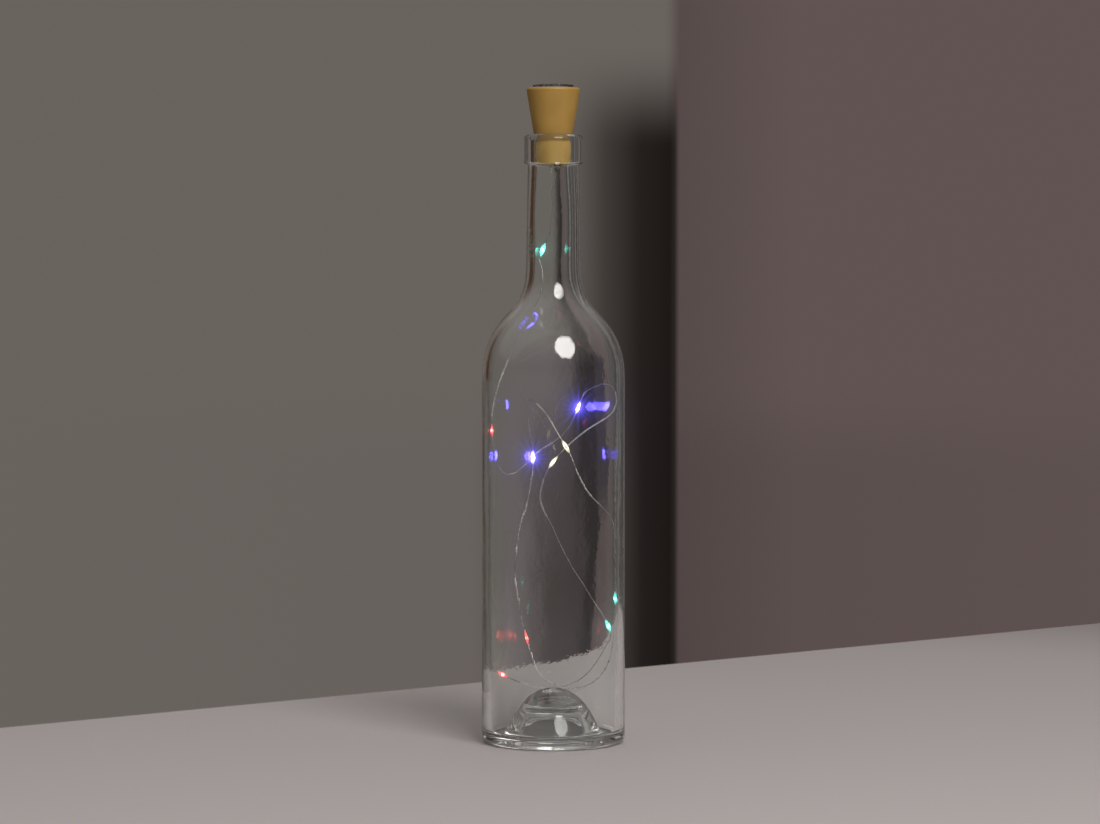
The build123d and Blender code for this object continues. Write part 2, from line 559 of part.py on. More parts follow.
def lamp_frame(i, look):
    """Centre of a lamp, its axis along the wire, and the side that its chip is on."""
    centre = Vector(middle(i))
    along = (Vector(ROUTE[i + 1]) - Vector(ROUTE[i])).normalized()
    side = (look - along * look.dot(along)).normalized()
    return centre, along, side


def chip_plane(i, look):
    centre, along, side = lamp_frame(i, look)
    return Plane(origin=centre + side * (WIRE_D / 2 + 0.05), x_dir=along, z_dir=side)


for chip_name, chip_lamps in {
    "led_chip_neck": LAMPS["led_bead_neck"],
    "led_chips": [lamp for name, lamps in LAMPS.items() if name != "led_bead_neck" for lamp in lamps],
}.items():
    with BuildPart() as chips:
        for i, look in chip_lamps:
            with BuildSketch(chip_plane(i, look)):
                Rectangle(CHIP[0], CHIP[1])
            extrude(amount=CHIP[2])
    save(chips, chip_name)

for bead_name, bead_lamps in LAMPS.items():
    with BuildPart() as beads:
        for i, look in bead_lamps:
            centre, along, side = lamp_frame(i, look)
            with BuildSketch(Plane(origin=centre, x_dir=side, z_dir=side.cross(along))):
                with BuildLine():
                    h = LAMP_L / 2
                    Spline(
                        (0.32, -h), (0.62, -0.72 * h), (LAMP_R - 0.1, -0.3 * h), (LAMP_R, 0.05 * h), (0.84, 0.48 * h), (0.55, 0.76 * h), (0.32, h),
                    )
                    Polyline((0.32, h), (0, h), (0, -h), (0.32, -h))
                make_face()
            revolve(axis=Axis(centre, along))
        for i, look in bead_lamps:
            with BuildSketch(chip_plane(i, look)):
                Rectangle(CHIP[0], CHIP[1])
            extrude(amount=CHIP[2], mode=Mode.SUBTRACT)
    save(beads, bead_name)
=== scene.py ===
"""Looks of the cork bottle light, built round its CAD frame. Metres, +Z up, the bottle's axis on Z."""

import math

import bpy
import numpy as np
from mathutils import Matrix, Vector, noise


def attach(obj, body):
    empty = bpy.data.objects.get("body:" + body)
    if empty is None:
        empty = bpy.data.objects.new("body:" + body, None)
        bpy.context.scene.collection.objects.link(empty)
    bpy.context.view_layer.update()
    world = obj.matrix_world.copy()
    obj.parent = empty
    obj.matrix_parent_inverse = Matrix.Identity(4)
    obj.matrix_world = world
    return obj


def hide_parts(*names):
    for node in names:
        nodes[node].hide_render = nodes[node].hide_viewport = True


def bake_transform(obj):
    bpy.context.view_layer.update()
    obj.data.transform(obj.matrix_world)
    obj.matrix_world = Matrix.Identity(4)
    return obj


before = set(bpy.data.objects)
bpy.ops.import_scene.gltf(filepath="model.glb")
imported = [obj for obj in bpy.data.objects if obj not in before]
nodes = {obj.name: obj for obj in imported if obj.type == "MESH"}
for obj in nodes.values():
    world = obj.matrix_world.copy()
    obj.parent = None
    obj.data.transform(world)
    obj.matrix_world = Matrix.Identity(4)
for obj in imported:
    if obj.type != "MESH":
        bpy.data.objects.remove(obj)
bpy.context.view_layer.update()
scene = bpy.context.scene
MM = 0.001

# ---------------------------------------------------------------- camera, at the photograph's viewing angle

eye, target = Vector((-0.0017, -1.8215, 0.2564)), Vector((-0.0017, 0.0, 0.1718))
camera = bpy.data.objects.new("camera", bpy.data.cameras.new("camera"))
camera.data.sensor_width = 36.0
camera.data.lens = 115.0
camera.location = eye
camera.rotation_euler = (target - eye).to_track_quat("-Z", "Y").to_euler()
scene.collection.objects.link(camera)
scene.camera = camera

# ---------------------------------------------------------------- route of the light string

ROUTE = [
    (0.0016, -0.0026, 0.2961), (0.0009, -0.0024, 0.2906), (-0.0014, -0.0014, 0.2844), (0.0002, 0.0008, 0.2777), (-0.0016, 0.0026, 0.2720),
    (-0.0012, 0.0046, 0.2663), (-0.0038, 0.0060, 0.2603), (-0.0082, 0.0050, 0.2509), (-0.0060, 0.0042, 0.2460), (-0.0057, 0.0034, 0.2372),
    (-0.0083, 0.0032, 0.2278), (-0.0126, 0.0040, 0.2184), (-0.0191, 0.0044, 0.2085), (-0.0251, 0.0040, 0.1971), (-0.0293, 0.0030, 0.1852),
    (-0.0321, 0.0016, 0.1738), (-0.0324, 0.0009, 0.1673), (-0.0327, 0.0016, 0.1574), (-0.0325, 0.0056, 0.1507), (-0.0304, 0.0116, 0.1430),
    (-0.0263, 0.0168, 0.1378), (-0.0203, 0.0206, 0.1380), (-0.0137, 0.0228, 0.1438), (-0.0070, 0.0238, 0.1507), (-0.0016, 0.0244, 0.1540),
    (0.0033, 0.0246, 0.1571), (0.0081, 0.0242, 0.1624), (0.0114, 0.0236, 0.1688), (0.0151, 0.0260, 0.1777), (0.0178, 0.0270, 0.1814),
    (0.0213, 0.0252, 0.1837), (0.0249, 0.0212, 0.1848), (0.0282, 0.0162, 0.1863), (0.0315, 0.0092, 0.1851), (0.0328, 0.0020, 0.1815),
    (0.0324, -0.0052, 0.1777), (0.0296, -0.0134, 0.1717), (0.0240, -0.0206, 0.1681), (0.0178, -0.0256, 0.1648), (0.0101, -0.0290, 0.1588),
    (0.0028, -0.0306, 0.1517), (-0.0032, -0.0306, 0.1437), (-0.0055, -0.0286, 0.1368), (-0.0070, -0.0252, 0.1289), (-0.0045, -0.0218, 0.1210),
    (-0.0001, -0.0186, 0.1135), (0.0035, -0.0158, 0.1040), (0.0092, -0.0130, 0.0930), (0.0159, -0.0110, 0.0825), (0.0214, -0.0099, 0.0730),
    (0.0261, -0.0088, 0.0662), (0.0302, -0.0081, 0.0559), (0.0268, -0.0074, 0.0501), (0.0229, -0.0054, 0.0426), (0.0181, -0.0020, 0.0355),
    (0.0113, 0.0030, 0.0299), (0.0050, 0.0090, 0.0268), (0.0001, 0.0145, 0.0275), (-0.0038, 0.0185, 0.0289), (-0.0084, 0.0216, 0.0339),
    (-0.0114, 0.0234, 0.0408), (-0.0132, 0.0242, 0.0459), (-0.0158, 0.0242, 0.0555), (-0.0173, 0.0246, 0.0609), (-0.0185, 0.0250, 0.0696),
    (-0.0199, 0.0252, 0.0774), (-0.0210, 0.0252, 0.0848), (-0.0209, 0.0254, 0.0922), (-0.0194, 0.0264, 0.1032), (-0.0170, 0.0276, 0.1136),
    (-0.0133, 0.0286, 0.1235), (-0.0115, 0.0300, 0.1345), (-0.0108, 0.0304, 0.1411), (-0.0107, 0.0304, 0.1519), (-0.0115, 0.0292, 0.1573),
    (-0.0134, 0.0254, 0.1669), (-0.0137, 0.0190, 0.1746), (-0.0118, 0.0070, 0.1789), (-0.0081, -0.0070, 0.1765), (-0.0032, -0.0180, 0.1716),
    (0.0011, -0.0236, 0.1641), (0.0041, -0.0264, 0.1590), (0.0085, -0.0272, 0.1516), (0.0124, -0.0280, 0.1408), (0.0177, -0.0264, 0.1305),
    (0.0253, -0.0204, 0.1234), (0.0303, -0.0120, 0.1153), (0.0321, -0.0064, 0.1048), (0.0325, -0.0040, 0.0947), (0.0320, -0.0028, 0.0866),
    (0.0323, -0.0016, 0.0803), (0.0325, -0.0004, 0.0692), (0.0323, 0.0022, 0.0610), (0.0324, 0.0056, 0.0502), (0.0311, 0.0105, 0.0407),
    (0.0284, 0.0152, 0.0339), (0.0235, 0.0182, 0.0288), (0.0167, 0.0200, 0.0254), (0.0088, 0.0206, 0.0242), (0.0014, 0.0202, 0.0238),
    (-0.0059, 0.0190, 0.0250), (-0.0132, 0.0170, 0.0263), (-0.0187, 0.0142, 0.0288), (-0.0231, 0.0110, 0.0312), (-0.0318, 0.0066, 0.0358),
]

curve = bpy.data.curves.new("string_route", "CURVE")
curve.dimensions = "3D"
spline = curve.splines.new("NURBS")
spline.points.add(len(ROUTE) - 1)
for control, place in zip(spline.points, ROUTE):
    control.co = (*place, 1.0)
spline.order_u = 3
spline.use_endpoint_u = True
spline.resolution_u = 24
route_object = bpy.data.objects.new("string_route", curve)
route_mesh = bpy.data.meshes.new_from_object(route_object)
LINE = np.array([v.co for v in route_mesh.vertices], float)
bpy.data.objects.remove(route_object)
bpy.data.meshes.remove(route_mesh)

ALONG = np.concatenate([[0.0], np.cumsum(np.linalg.norm(np.diff(LINE, axis=0), axis=1))])


def on_line(s):
    """The point of the string at that length from the gland."""
    return np.array([np.interp(s, ALONG, LINE[:, k]) for k in range(3)])


def unit(v):
    return v / np.linalg.norm(v)


def line_frames():
    """Two directions across the string at each of its points, carried along it without turning."""
    tangents = np.gradient(LINE, axis=0)
    tangents /= np.linalg.norm(tangents, axis=1)[:, None]
    a = unit(np.cross(tangents[0], (1.0, 0.0, 0.0)))
    across, other = [], []
    for t in tangents:
        a = unit(a - t * (a @ t))
        across.append(a)
        other.append(np.cross(t, a))
    return np.array(across), np.array(other)


ACROSS, OTHER = line_frames()


def new_object(name, points, faces, smooth=True):
    mesh = bpy.data.meshes.new(name)
    mesh.from_pydata([tuple(map(float, p)) for p in points], [], faces)
    mesh.validate()
    if smooth:
        mesh.shade_smooth()
    made = bpy.data.objects.new(name, mesh)
    scene.collection.objects.link(made)
    return made


# ---------------------------------------------------------------- lamps along the string
# (first point of the run that the lamp is centred on, side that its chip looks to, glow of the drop, glow at the chip, fullness of the drop, spread of the chip's glow)
TOWARDS, AWAY = np.array((0.0, -1.0, 0.0)), np.array((0.0, 1.0, 0.0))
LAMPS = {
    "led_bead_neck": [(6, TOWARDS, 1.6, 22.0, 1.10, "ball")],
    "led_beads_red": [(16, TOWARDS, 0.9, 8.0, 0.80, "spot"), (61, AWAY, 0.55, 9.0, 0.76, "back"), (103, TOWARDS, 1.0, 14.0, 0.95, "spot")],
    "led_beads_blue": [(27, TOWARDS, 3.0, 430.0, 0.95, "ball"), (72, TOWARDS, 3.0, 230.0, 1.05, "ball")],
    "led_beads_warm": [(40, AWAY, 0.66, 4.0, 0.86, "back"), (81, AWAY, 0.66, 4.0, 1.0, "back")],
    "led_beads_green": [(50, TOWARDS, 1.3, 18.0, 0.90, "spot"), (90, TOWARDS, 1.2, 14.0, 0.80, "spot")],
}
DROP_HALF, DROP_R, CHIP_OUT = 3.75 * MM, 1.08 * MM, 0.58 * MM
# how far the glow spreads along and across the drop, and how far out its middle is
SPREAD = {"spot": (0.85 * MM, 0.85 * MM, CHIP_OUT), "ball": (1.25 * MM, 1.25 * MM, 0.0), "back": (2.0 * MM, 0.6 * MM, CHIP_OUT)}


def lamp_place(i, look):
    """Where along the string a lamp's middle is, that point, the string's direction there and the chip's side."""
    a, b = np.array(ROUTE[i]), np.array(ROUTE[i + 1])
    centre = (a + b) / 2
    s = ALONG[np.linalg.norm(LINE - centre, axis=1).argmin()]
    along = unit(b - a)
    return s, centre, along, unit(look - along * (look @ along))


LAMP_S = [lamp_place(i, look)[0] for lamps in LAMPS.values() for i, look, *_ in lamps]

# ---------------------------------------------------------------- wire: two fine strands twisted together

STRAND_R, PITCH, SIDES = 0.14 * MM, 4.6 * MM, 8


# stretches of the route, in route-point numbers, where the wire's colour is made bright as painted glints; between them
# it is duller
GLINT_RUNS = [(13, 15.5), (34, 39.6), (42, 44), (55, 57.5), (58.3, 62.6), (64.4, 65.6), (67.4, 69.6), (78, 80.6), (83, 84.5), (99, 101.5)]
AT_POINT = [ALONG[np.linalg.norm(LINE - np.array(q), axis=1).argmin()] for q in ROUTE]
GLINT_S = [tuple(np.interp(ends, range(len(ROUTE)), AT_POINT)) for ends in GLINT_RUNS]


def shine(s):
    """How much painted glint the wire's colour carries there: 0 dull to 1 bright, in flecks."""
    best = max(math.exp(-((max(a - s, 0.0, s - b) / 0.003) ** 2)) for a, b in GLINT_S)
    return best * (0.72 + 0.5 * noise.noise(Vector((s / 0.0035, 6.3, 2.9)))) + 0.30 * max(0.0, noise.noise(Vector((s / 0.009, 1.9, 8.2)))) * (1 - best)


def strand_gap(s):
    """How far a strand runs from the string's middle: side by side at the lamps and the gland, and a little apart here and there between them."""
    apart = max(max(0.0, noise.noise(Vector((s / 0.021, 3.7, 1.3)))) ** 1.4, 0.55 * max(0.0, shine(s)))
    near = min([abs(s - q) for q in LAMP_S] + [s])
    return 0.135 * MM + 0.34 * MM * apart * min(1.0, max(0.0, (near - 0.006) / 0.006))


points, faces, shines = [], [], []
shine_at = [shine(s) for s in ALONG]
for turn in (0.0, math.pi):
    first = len(points)
    turned = turn
    for k, (p, a, o, s) in enumerate(zip(LINE, ACROSS, OTHER, ALONG)):
        pitch = PITCH * (1.0 + 0.25 * noise.noise(Vector((s / 0.03, 9.1, 0.4))))
        turned += 0.0 if k == 0 else 2 * math.pi * (s - ALONG[k - 1]) / pitch
        out = a * math.cos(turned) + o * math.sin(turned)
        side = o * math.cos(turned) - a * math.sin(turned)
        middle = p + out * strand_gap(s)
        for j in range(SIDES):
            w = 2 * math.pi * j / SIDES
            points.append(middle + STRAND_R * (out * math.cos(w) + side * math.sin(w)))
            shines.append(max(0.0, min(1.0, shine_at[k])))
    rings = len(LINE)
    for k in range(rings - 1):
        for j in range(SIDES):
            q = first + k * SIDES
            faces.append((q + j, q + (j + 1) % SIDES, q + SIDES + (j + 1) % SIDES, q + SIDES + j))
    faces.append(tuple(first + j for j in reversed(range(SIDES))))
    faces.append(tuple(first + (rings - 1) * SIDES + j for j in range(SIDES)))
wire = new_object("string_wire", points, faces)
wire.data.attributes.new("shine", "FLOAT", "POINT").data.foreach_set("value", np.array(shines, np.float32))
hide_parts("string_wire_top", "string_wire_neck", "string_wire_body")

# ---------------------------------------------------------------- resin drops

DROP_RINGS, DROP_SIDES = 30, 20


def drop(points, faces, glow, i, look, bright, core, full, spread_name):
    """Adds one drop of resin: a spindle round the wire that is fuller on its chip's side and runs out along the wire."""
    s0, centre, along, side = lamp_place(i, look)
    far_along, far_across, out = SPREAD[spread_name]
    heart = centre + side * out
    first = len(points)
    for k in range(DROP_RINGS + 1):
        t = -1.0 + 2.0 * k / DROP_RINGS
        p, before, after = (on_line(s0 + t * DROP_HALF + d) for d in (0.0, -0.2 * MM, 0.2 * MM))
        tangent = unit(after - before)
        up = unit(side - tangent * (side @ tangent))
        right = np.cross(tangent, up)
        lean = 0.22 * noise.noise(Vector((i * 1.7, 0.3, 5.1)))
        body = max(0.0, 1.0 - abs(t - lean * (1 - t * t)) ** 1.7) ** 1.25
        radius = (0.30 * MM + (DROP_R * full - 0.30 * MM) * body) * (0.55 + 0.45 * min(1.0, (1.0 - abs(t)) / 0.06))
        bulge = 0.24 * MM * full * math.exp(-((t / 0.42) ** 2))
        for j in range(DROP_SIDES):
            w = 2 * math.pi * j / DROP_SIDES
            ripple = 1.0 + 0.05 * body * noise.noise(Vector((i + 1.1 * math.cos(w), 1.1 * math.sin(w), 2.2 * t)))
            q = p + up * (bulge * 0.5 + radius * ripple * math.cos(w) * (1.0 + 0.08 * body)) + right * (radius * ripple * math.sin(w) * (1.0 - 0.06 * body))
            points.append(q)
            run = (q - heart) @ along
            apart = np.linalg.norm(q - heart - along * run)
            glow.append(bright * (0.25 + 0.75 * body) + core * math.exp(-((run / far_along) ** 2) - (apart / far_across) ** 2))
    for k in range(DROP_RINGS):
        for j in range(DROP_SIDES):
            q = first + k * DROP_SIDES
            faces.append((q + j, q + (j + 1) % DROP_SIDES, q + DROP_SIDES + (j + 1) % DROP_SIDES, q + DROP_SIDES + j))
    faces.append(tuple(first + j for j in reversed(range(DROP_SIDES))))
    faces.append(tuple(first + DROP_RINGS * DROP_SIDES + j for j in range(DROP_SIDES)))


drops = {}
for name, lamps in LAMPS.items():
    points, faces, glow = [], [], []
    for lamp in lamps:
        drop(points, faces, glow, *lamp)
    made = new_object(name.replace("bead", "drop"), points, faces)
    made.data.attributes.new("glow", "FLOAT", "POINT").data.foreach_set("value", np.array(glow, np.float32))
    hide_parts(name)
    colour = "green" if name.endswith("neck") else name.rsplit("_", 1)[1]
    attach(made, "stopper" if name.endswith("neck") else "bottle")
    drops[name] = (made, colour)

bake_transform(wire)

# ---------------------------------------------------------------- bottle: one turned piece of glass, in millimetres until it is made
# Each helper adds points (radius, height) to the profile, which runs from the top of the punt round the outside to the top of the dome.


def arc(p, q, tangent, n):
    """n points of the arc that leaves p along tangent and ends at q, without p."""
    d = (q[0] - p[0], q[1] - p[1])
    size = math.hypot(*tangent)
    normal = (-tangent[1] / size, tangent[0] / size)
    radius = (d[0] ** 2 + d[1] ** 2) / (2 * (normal[0] * d[0] + normal[1] * d[1]))
    c = (p[0] + normal[0] * radius, p[1] + normal[1] * radius)
    a = math.atan2(p[1] - c[1], p[0] - c[0])
    b = math.atan2(q[1] - c[1], q[0] - c[0])
    if radius > 0 and b < a:
        b += 2 * math.pi
    if radius < 0 and b > a:
        b -= 2 * math.pi
    return [(c[0] + abs(radius) * math.cos(a + (b - a) * k / n), c[1] + abs(radius) * math.sin(a + (b - a) * k / n)) for k in range(1, n + 1)]


def straight(p, q, n):
    """n points of the line from p to q, without p."""
    return [(p[0] + (q[0] - p[0]) * k / n, p[1] + (q[1] - p[1]) * k / n) for k in range(1, n + 1)]


def corner(p, at, q, radius):
    """Where a rounding of that radius leaves the line from p and joins the line to q."""
    u = (at[0] - p[0], at[1] - p[1])
    v = (q[0] - at[0], q[1] - at[1])
    lu, lv = math.hypot(*u), math.hypot(*v)
    u, v = (u[0] / lu, u[1] / lu), (v[0] / lv, v[1] / lv)
    turn = math.acos(max(-1.0, min(1.0, u[0] * v[0] + u[1] * v[1])))
    back = radius * math.tan(turn / 2)
    return (at[0] - u[0] * back, at[1] - u[1] * back), (at[0] + v[0] * back, at[1] + v[1] * back), u


BODY_R, HEEL_R, RING_IN_R, SHOULDER_Z, SHOULDER_R, ROOT_R = 37.25, 3.4, 30.2, 191.5, 43.0, 29.0
NECK_ROOT_R, NECK_TOP_R, LIP_R, LIP_BOTTOM, LIP_TOP = 14.35, 13.4, 15.35, 300.2, 315.5
PUNT, DOME, FLOOR_Z = (18.7, 32.0, 25.0, 3.5, 78.0), (27.8, 20.0, 45.0, 43.0, 70.0), 4.0
WALL, BORE_R, BORE_END, NECK_IN_R, NECK_IN_TOP, LIP_EDGE = 3.1, 9.3, 297.0, 10.35, 276.0, 2.8
IN_R = BODY_R - WALL
TAPER_Z, FOOT_IN_R = 68.0, 32.36


def bell(shape, z):
    """A bell's outline: end of its top arc, end of the arc that turns over, and its foot at height z."""
    top, radius, turn, bend, flank = shape
    a, b = math.radians(turn), math.radians(flank)
    cap = (radius * math.sin(a), top - radius * (1 - math.cos(a)))
    over = (cap[0] + bend * (math.sin(b) - math.sin(a)), cap[1] - bend * (math.cos(a) - math.cos(b)))
    return cap, over, (over[0] + (over[1] - z) / math.tan(b), z)


def slope(degrees):
    return (math.cos(math.radians(degrees)), -math.sin(math.radians(degrees)))


def two_arcs(r0, r1, low, high, z0):
    """Where the shoulder's two arcs meet, and where the upper one ends on the neck."""
    c = (low - r0, z0)
    cx = high + r1
    d = (cx, c[1] + math.sqrt((r0 + r1) ** 2 - (cx - c[0]) ** 2))
    k = r0 / (r0 + r1)
    return c, d, (c[0] + (d[0] - c[0]) * k, c[1] + (d[1] - c[1]) * k)


profile = [(0.0, PUNT[0], "punt")]


def add(points, kind):
    profile.extend((r, z, kind) for r, z in points)


def last():
    return profile[-1][:2]


cap, over, foot = bell(PUNT, 1.3)
add(arc(last(), cap, (1, 0), 9), "punt")
add(arc(cap, over, slope(PUNT[2]), 7), "punt")
p0, p1, u = corner(over, foot, (RING_IN_R, 0.0), 5.0)
add(straight(last(), p0, 8), "punt")
add(arc(p0, p1, u, 7), "base")
p0, p1, u = corner(foot, (RING_IN_R, 0.0), (BODY_R - HEEL_R, 0.0), 2.0)
add(straight(last(), p0, 6), "base")
add(arc(p0, p1, u, 2), "ring")
add(straight(last(), (BODY_R - HEEL_R, 0.0), 6), "ring")
heel = arc(last(), (BODY_R, HEEL_R), (1, 0), 12)
add(heel[:4], "ring")
add(heel[4:], "base")
add(straight(last(), (BODY_R, 14.0), 6), "base")
add(straight(last(), (BODY_R, SHOULDER_Z), 84), "out")
c1, c2, meet = two_arcs(SHOULDER_R, ROOT_R, BODY_R, NECK_ROOT_R, SHOULDER_Z)
add(arc(last(), meet, (0, 1), 20), "out")
add(arc(meet, (NECK_ROOT_R, c2[1]), (-(meet[1] - c1[1]), meet[0] - c1[0]), 14), "out")
add(straight(last(), (NECK_TOP_R, LIP_BOTTOM - 0.8), 26), "out")
add(arc(last(), (NECK_TOP_R + 0.8, LIP_BOTTOM), (0, 1), 5), "lip")
add(arc(last(), (LIP_R, LIP_BOTTOM + 1.2), (1, 0.05), 6), "lip")
add(straight(last(), (LIP_R, LIP_TOP - LIP_EDGE), 6), "lip")
add(arc(last(), (LIP_R - LIP_EDGE, LIP_TOP), (0, 1), 12), "lip")
add(straight(last(), (BORE_R + 0.6, LIP_TOP), 4), "lip")
add(arc(last(), (BORE_R, LIP_TOP - 0.6), (-1, 0), 5), "lip")
add(straight(last(), (BORE_R, BORE_END), 6), "lip")
add(straight(last(), (NECK_IN_R - 0.05, NECK_IN_TOP), 10), "in")
d1, d2, meet_in = two_arcs(SHOULDER_R - WALL, ROOT_R + WALL, IN_R, NECK_IN_R, SHOULDER_Z)
add(straight(last(), (NECK_IN_R, d2[1]), 15), "in")
add(arc(last(), meet_in, (0, -1), 15), "in")
add(arc(meet_in, (IN_R, SHOULDER_Z), (meet_in[1] - d1[1], -(meet_in[0] - d1[0])), 19), "in")
cap, over, foot = bell(DOME, FLOOR_Z)
p0, p1, u = corner((IN_R, TAPER_Z), (FOOT_IN_R, FLOOR_Z), foot, 4.0)
add(straight(last(), (IN_R, TAPER_Z), 58), "in")
add(straight(last(), (FOOT_IN_R + (IN_R - FOOT_IN_R) * (14.0 - FLOOR_Z) / (TAPER_Z - FLOOR_Z), 14.0), 26), "in")
add(straight(last(), p0, 4), "floor")
add(arc(p0, p1, u, 9), "floor")
p0, p1, u = corner((FOOT_IN_R, FLOOR_Z), foot, over, 2.5)
add(straight(last(), p0, 3), "floor")
add(arc(p0, p1, u, 7), "floor")
add(straight(last(), over, 2), "dome")
add(arc(over, cap, (-slope(DOME[4])[0], -slope(DOME[4])[1]), 18), "dome")
add(arc(cap, (0.0, DOME[0]), (-slope(DOME[2])[0], -slope(DOME[2])[1]), 14), "dome")


def eased(kind, rounds):
    """Runs the straight and round lengths of the wall into one another, within a third of a millimetre, as in blown glass."""
    mine = [k for k, p in enumerate(profile) if p[2] == kind]
    line = np.array([profile[k][:2] for k in mine])
    for _ in range(rounds):
        line[1:-1] = (line[:-2] + 2 * line[1:-1] + line[2:]) / 4
    for k, (r, z) in zip(mine, line):
        profile[k] = (r, z, kind)


eased("out", 8)
eased("in", 8)
eased("punt", 6)
eased("dome", 8)


def step(a, b, x):
    t = max(0.0, min(1.0, (x - a) / (b - a)))
    return t * t * (3 - 2 * t)


def wave(x, y, z, low, high):
    """Slow waves of blown glass, longer up the wall than round it."""
    return low * noise.noise(Vector((x / 21, y / 21, z / 60))) + high * noise.noise(Vector((x / 7 + 5, y / 7, z / 15)))


def glass_point(r, z, kind, angle):
    x, y = r * math.cos(angle), r * math.sin(angle)
    if kind in ("in", "floor", "dome") and r > 2:
        # the inside, which no mould touches, wanders by a fraction of a millimetre
        thin = (1 - step(255, 292, z)) * step(2, 12, r) * (0.25 + 0.75 * step(2, 20, z))
        r += thin * wave(x, y, z, 0.13 + 0.12 * step(90, 180, z) - 0.13 * step(200, 235, z), 0.035)
    elif kind == "out":
        r -= step(14, 22, z) * (1 - step(286, 298, z)) * max(0.0, 0.03 + wave(x + 90, y, z, 0.05, 0.012))
    elif kind == "ring":
        # short bars of the knurled bearing ring, pressed up into the glass
        across = max(0.0, 1.0 - abs(r - 32.1) / 1.7)
        z += 0.36 * across * max(0.0, math.sin(BARS * angle)) ** 0.7
    return (r * math.cos(angle) * MM, r * math.sin(angle) * MM, z * MM)


BARS = 64
COARSE, FINE = 256, 768
points, faces, rows = [], [], []
for r, z, kind in profile:
    if r < 1e-6:
        rows.append([len(points)])
        points.append((0.0, 0.0, z * MM))
        continue
    count = FINE if kind == "ring" else COARSE
    rows.append(list(range(len(points), len(points) + count)))
    points.extend(glass_point(r, z, kind, 2 * math.pi * k / count) for k in range(count))
for a, b in zip(rows, rows[1:]):
    if len(a) == 1:
        faces.extend((a[0], b[(k + 1) % len(b)], b[k]) for k in range(len(b)))
    elif len(b) == 1:
        faces.extend((a[k], a[(k + 1) % len(a)], b[0]) for k in range(len(a)))
    elif len(a) == len(b):
        n = len(a)
        faces.extend((a[k], a[(k + 1) % n], b[(k + 1) % n], b[k]) for k in range(n))
    elif len(a) < len(b):
        n, m = len(a), len(b) // len(a)
        faces.extend((a[k], a[(k + 1) % n]) + tuple(b[(k * m + q) % len(b)] for q in range(m, -1, -1)) for k in range(n))
    else:
        n, m = len(b), len(a) // len(b)
        faces.extend(tuple(a[(k * m + q) % len(a)] for q in range(m + 1)) + (b[(k + 1) % n], b[k]) for k in range(n))
bottle = new_object("bottle_glass", points, faces)
PEEL = {"in": 1.0, "floor": 1.0, "dome": 0.8, "punt": 0.5}
peel = np.concatenate([np.full(len(row), PEEL.get(kind, 0.12), np.float32) for row, (_, _, kind) in zip(rows, profile)])
bottle.data.attributes.new("peel", "FLOAT", "POINT").data.foreach_set("value", peel)
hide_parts("bottle")
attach(bottle, "bottle")

# ---------------------------------------------------------------- materials


def material(name):
    made = bpy.data.materials.new(name)
    made.use_nodes = True
    return made, made.node_tree, made.node_tree.nodes["Principled BSDF"]


def node(tree, kind, **values):
    made = tree.nodes.new(kind)
    for key, value in values.items():
        made.inputs[key.replace("_", " ")].default_value = value
    return made


def grain(tree, scale, detail=4.0, roughness=0.55, stretch=(1.0, 1.0, 1.0)):
    """Noise in the object's own coordinates, so that its scale is per metre."""
    coords = tree.nodes.new("ShaderNodeTexCoord")
    mapping = node(tree, "ShaderNodeMapping", Scale=stretch)
    tree.links.new(coords.outputs["Object"], mapping.inputs["Vector"])
    tex = node(tree, "ShaderNodeTexNoise", Scale=scale, Detail=detail, Roughness=roughness)
    tree.links.new(mapping.outputs["Vector"], tex.inputs["Vector"])
    return tex.outputs["Fac"]


def ramp(tree, factor, *stops):
    made = tree.nodes.new("ShaderNodeValToRGB")
    elements = made.color_ramp.elements
    while len(elements) < len(stops):
        elements.new(0.5)
    for element, (place, colour) in zip(elements, stops):
        element.position = place
        element.color = (*colour, 1.0)
    tree.links.new(factor, made.inputs["Fac"])
    return made.outputs["Color"]


def spread(tree, factor, low, high):
    made = node(tree, "ShaderNodeMapRange", From_Min=0.3, From_Max=0.7, To_Min=low, To_Max=high)
    tree.links.new(factor, made.inputs["Value"])
    return made.outputs["Result"]


def bump(tree, bsdf, height, strength, depth):
    made = node(tree, "ShaderNodeBump", Strength=strength, Distance=depth)
    tree.links.new(height, made.inputs["Height"])
    tree.links.new(made.outputs["Normal"], bsdf.inputs["Normal"])


def tone(colour, k):
    return tuple(min(1.0, c * k) for c in colour)


def finish(name, colour, rough, scale=700.0, vary=0.1, strength=0.15, depth=0.00005, metal=0.0, **sockets):
    """A finish with fine variation of its colour, gloss and surface."""
    made, tree, bsdf = material(name)
    factor = grain(tree, scale)
    tree.links.new(ramp(tree, factor, (0.3, tone(colour, 1 - vary)), (0.7, tone(colour, 1 + vary))), bsdf.inputs["Base Color"])
    tree.links.new(spread(tree, factor, max(0.02, rough - 0.06), rough + 0.06), bsdf.inputs["Roughness"])
    bump(tree, bsdf, grain(tree, scale * 2.7, 3.0), strength, depth)
    bsdf.inputs["Metallic"].default_value = metal
    for key, value in sockets.items():
        bsdf.inputs[key.replace("_", " ")].default_value = value
    return made


def let_light_through(made, tree, bsdf, tint):
    """Lamps reach what is behind this clear surface."""
    output = tree.nodes["Material Output"]
    clear = node(tree, "ShaderNodeBsdfTransparent", Color=(*tint, 1.0))
    path = tree.nodes.new("ShaderNodeLightPath")
    mix = tree.nodes.new("ShaderNodeMixShader")
    tree.links.new(path.outputs["Is Shadow Ray"], mix.inputs[0])
    tree.links.new(bsdf.outputs["BSDF"], mix.inputs[1])
    tree.links.new(clear.outputs["BSDF"], mix.inputs[2])
    tree.links.new(mix.outputs["Shader"], output.inputs["Surface"])


